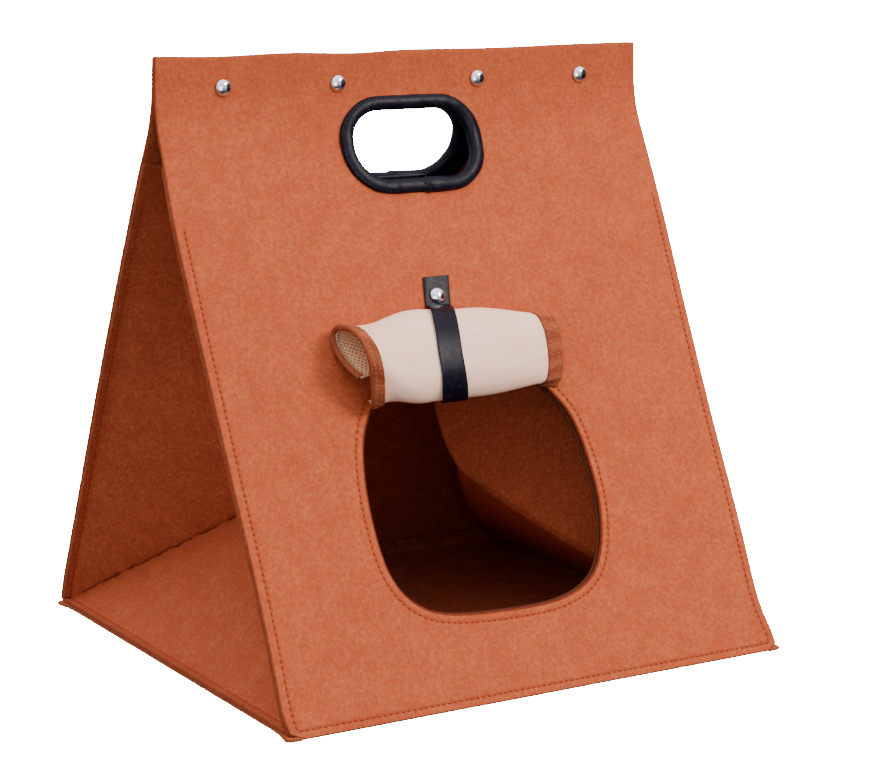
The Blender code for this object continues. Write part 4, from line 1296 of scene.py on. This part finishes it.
def build_strap():
    """The leather strap, its edges slightly worn."""
    bm = mapped_grid(10, 260, lambda u, v: strap_point(u, v, 0.0))
    scale_uvs(bm, (STRAP_WIDTH, 0.15))
    strap = add_piece("strap_leather", bm, [leather], ["strap"])
    add_thickness(strap, STRAP_THICKNESS)
    wear_edges(strap, 0.0004)
    return strap


strap = build_strap()


# ------------------------------------------------------------ handle trim
TRIM_JOINT = 0.001
INNER_LEG = 0.0110
INNER_LEG_FADE = (0.395, 0.425)  # above this it is narrow
LAP = (0.34, 0.014)  # how much thicker the lapping end is, and how far along that fades
SOFT_PUCKERS = 0.10


def build_trim(name, node, side):
    """Folded leather with soft puckers; one end laps over the other below the opening."""
    edge = [tuple(p) for p in even_points(handle_loop(), 0.0012, closed=True)]
    section = [smooth_rows(TRIM_SECTION[:10], i / 27) for i in range(28)] + list(TRIM_SECTION[10:])
    rings, wide = [], []
    for inwards, t in section:
        on_leg = smooth_step((0.0010, -0.0030), inwards) if t < -0.0030 else 0.0
        rings.append(offset_loop(edge, -inwards))
        wide.append(offset_loop(edge, INNER_LEG * on_leg - inwards))

    def where(u, v):
        i, k = round(v * len(edge)) % len(edge), round(u * len(section)) % len(section)
        at = Vector(edge[i])
        p = Vector(wide[k][i]).lerp(Vector(rings[k][i]), smooth_step(INNER_LEG_FADE, at.y))
        t = section[k][1]
        if t < -0.0025:
            return on_panel(side, p.x, p.y, t)
        past = at.x - TRIM_JOINT + 0.0022 * math.sin(u * 2 * math.pi)
        below = at.y < HANDLE_TOP - HANDLE_SIZE[1] + 0.001
        lap = LAP[0] * math.exp(-past / LAP[1]) if past > 0 and below else 0.0
        swell = 1 + lap + SOFT_PUCKERS * noise.noise(Vector((at.x * 120, at.y * 120, side + 2)))
        p = at + (p - at) * (1 + (swell - 1) * 0.5)
        return on_panel(side, p.x, p.y, t * swell)

    bm = mapped_grid(len(section), len(edge), where)
    add_piece(name, bm, [leather], [node])
    path = offset_loop(edge, 0.0053)
    stitched = {"pitch": 0.0034, "length": 0.0022, "thick": 0.0007}
    threads = [line_on_panel(side, path + path[:1], 0.0030)]
    add_stitches(f"{name}_stitches", threads, dark_thread, "black_leather", **stitched)


for place, side in (("front", -1), ("back", 1)):
    build_trim(f"handle_trim_{place}_leather", f"handle_trim_{place}", side)


# ------------------------------------------------------------ snaps
def build_snap(name, node, place, faces):
    """Domed caps on both sides of the felt, turned about Z and then put in place."""
    bm = bmesh.new()
    for face, direction in zip(faces, (1, -1)):
        points = [bm.verts.new((r, 0, face + direction * h)) for r, h in CAP_PROFILE]
        edges = [bm.edges.new((a, b)) for a, b in zip(points, points[1:])]
        around = {"cent": (0, 0, 0), "axis": (0, 0, 1), "angle": 2 * math.pi, "steps": 48, "use_merge": True}
        bmesh.ops.spin(bm, geom=points + edges, **around)
    bmesh.ops.remove_doubles(bm, verts=bm.verts, dist=1e-6)
    bmesh.ops.recalc_face_normals(bm, faces=bm.faces)
    bmesh.ops.transform(bm, matrix=place, verts=bm.verts)
    add_piece(name, bm, [nickel], [node])


def build_snaps():
    seat = -on_panel(-1, WIDTH / 2, SNAP_S - CAP_RADIUS, GAP).y
    for number, x in enumerate(SNAP_PLACES, start=1):
        place = Matrix.Translation((x, 0, SNAP_ROW)) @ Matrix.Rotation(math.pi / 2, 4, "X")
        build_snap(f"snap_cap_top_{number}", f"snap_top_{number}", place, (seat, -seat))
    place = Matrix.Translation(on_panel(-1, *STRAP_SNAP, 0)) @ Matrix.Rotation(LEAN, 4, "X")
    above, below = STRAP_LIFT + STRAP_THICKNESS / 2 + GAP, -FELT - GAP
    build_snap("snap_cap_strap", "snap_strap", place, (above, below))


build_snaps()


# ------------------------------------------------------------ a list of the panels and their stitches
PANELS = ((front, 0.4035, 0.1548, front_stitches), (back, 0.4063, 0.1855, back_stitches))
for panel, wide, area, stitches in PANELS:
    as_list(stitches)


# ------------------------------------------------------------ ground, light and camera
def add_stage_square(name, size, base, **values):
    """A square of the studio, facing up, with a plain paint that may glow white."""
    bm = bmesh.new()
    bmesh.ops.create_grid(bm, x_segments=1, y_segments=1, size=size / 2)
    paint, _, shader = new_material(name, **values)
    shader.inputs["Base Color"].default_value = (base, base, base, 1.0)
    shader.inputs["Emission Color"].default_value = (1.0, 1.0, 1.0, 1.0)
    square = new_object(name, bm, [paint])
    return square


def add_ground():
    """White all over, and no light from it: the photo's object is a cut-out, with none from below."""
    ground = add_stage_square("ground", 60, 0.92, Roughness=0.9, Emission_Strength=60.0)
    ground.location.z = -0.0002
    ground.visible_diffuse = ground.visible_glossy = False


def aim_at(made, place, aim):
    """Puts a lamp or a card in its place and turns it to a point."""
    made.location = place
    made.rotation_euler = (Vector(place) - Vector(aim)).to_track_quat("Z", "Y").to_euler()


def add_light(name, place, aim, size, power, colour):
    data = bpy.data.lights.new(name, "AREA")
    data.shape = "DISK"
    data.size = size
    data.energy = power
    data.color = colour
    lamp = bpy.data.objects.new(name, data)
    bpy.context.scene.collection.objects.link(lamp)
    aim_at(lamp, place, aim)


CAMERA_AIM = (0.0239, 0, 0.1785)
CAMERA_AZIMUTH, CAMERA_ELEVATION, CAMERA_ROLL = math.radians(-31.146), math.radians(10.897), math.radians(0.05)
CAMERA_DISTANCE = 1.833
CAMERA_LENS = 101.99


def add_camera():
    """The camera where the photograph's perspective puts it."""
    right = Vector((math.cos(CAMERA_AZIMUTH), math.sin(CAMERA_AZIMUTH), 0))
    level = Vector((right.y, -right.x, 0))
    back_way = level * math.cos(CAMERA_ELEVATION) + Vector((0, 0, math.sin(CAMERA_ELEVATION)))
    up = back_way.cross(right)
    cos, sin = math.cos(CAMERA_ROLL), math.sin(CAMERA_ROLL)
    turn = Matrix((right * cos + up * sin, up * cos - right * sin, back_way)).transposed()
    data = bpy.data.cameras.new("photo_camera")
    data.sensor_width = 36
    data.lens = CAMERA_LENS
    camera = bpy.data.objects.new("photo_camera", data)
    bpy.context.scene.collection.objects.link(camera)
    camera.matrix_world = Matrix.Translation(Vector(CAMERA_AIM) + back_way * CAMERA_DISTANCE) @ turn.to_4x4()
    bpy.context.scene.camera = camera


# where light comes from, how narrow it is, and its strength
SKY = (
    ((0.22, -0.45, 0.87), 1.5, 2.1),
    ((-0.80, -0.58, 0.10), 10.0, 1.45),
    ((-0.55, 0.45, 0.70), 4.0, 1.9),
)
SKY_BASE = 0.10


def build_world():
    """Soft light from the front above, from the left and from behind."""
    world = bpy.data.worlds.new("studio")
    world.use_nodes = True
    tree = world.node_tree
    direction = add_node(tree, "ShaderNodeTexCoord").outputs["Generated"]
    total = SKY_BASE
    for way, sharpness, strength in SKY:
        facing = {0: direction, 1: Vector(way).normalized()}
        facing = add_node(tree, "ShaderNodeVectorMath", facing, operation="DOT_PRODUCT").outputs["Value"]
        shaped = add_node(tree, "ShaderNodeMath", {0: facing, 1: 0.0}, operation="MAXIMUM").outputs[0]
        shaped = add_node(tree, "ShaderNodeMath", {0: shaped, 1: sharpness}, operation="POWER").outputs[0]
        inputs = {0: shaped, 1: strength, 2: total}
        total = add_node(tree, "ShaderNodeMath", inputs, operation="MULTIPLY_ADD").outputs[0]
    tree.links.new(total, tree.nodes["Background"].inputs["Strength"])
    tree.nodes["Background"].inputs["Color"].default_value = (0.94, 0.97, 1.08, 1.0)
    bpy.context.scene.world = world


def add_card(name, place, size, strength):
    """A card that only shows in shiny things: white where it has strength, or else black."""
    card = add_stage_square(name, size, 0.0, Emission_Strength=strength)
    aim_at(card, place, (0, -0.1, 0.3))
    card.visible_camera = card.visible_diffuse = card.visible_shadow = False


add_ground()
build_world()
add_card("card_left", (-0.75, -1.35, 0.25), 1.0, 4.0)
add_card("card_right", (1.15, -0.72, 0.38), 1.5, 0.0)
add_light("key", (1.1, -1.9, 1.7), (0, 0, 0.2), 0.8, 60, (1.0, 0.92, 0.84))
add_camera()
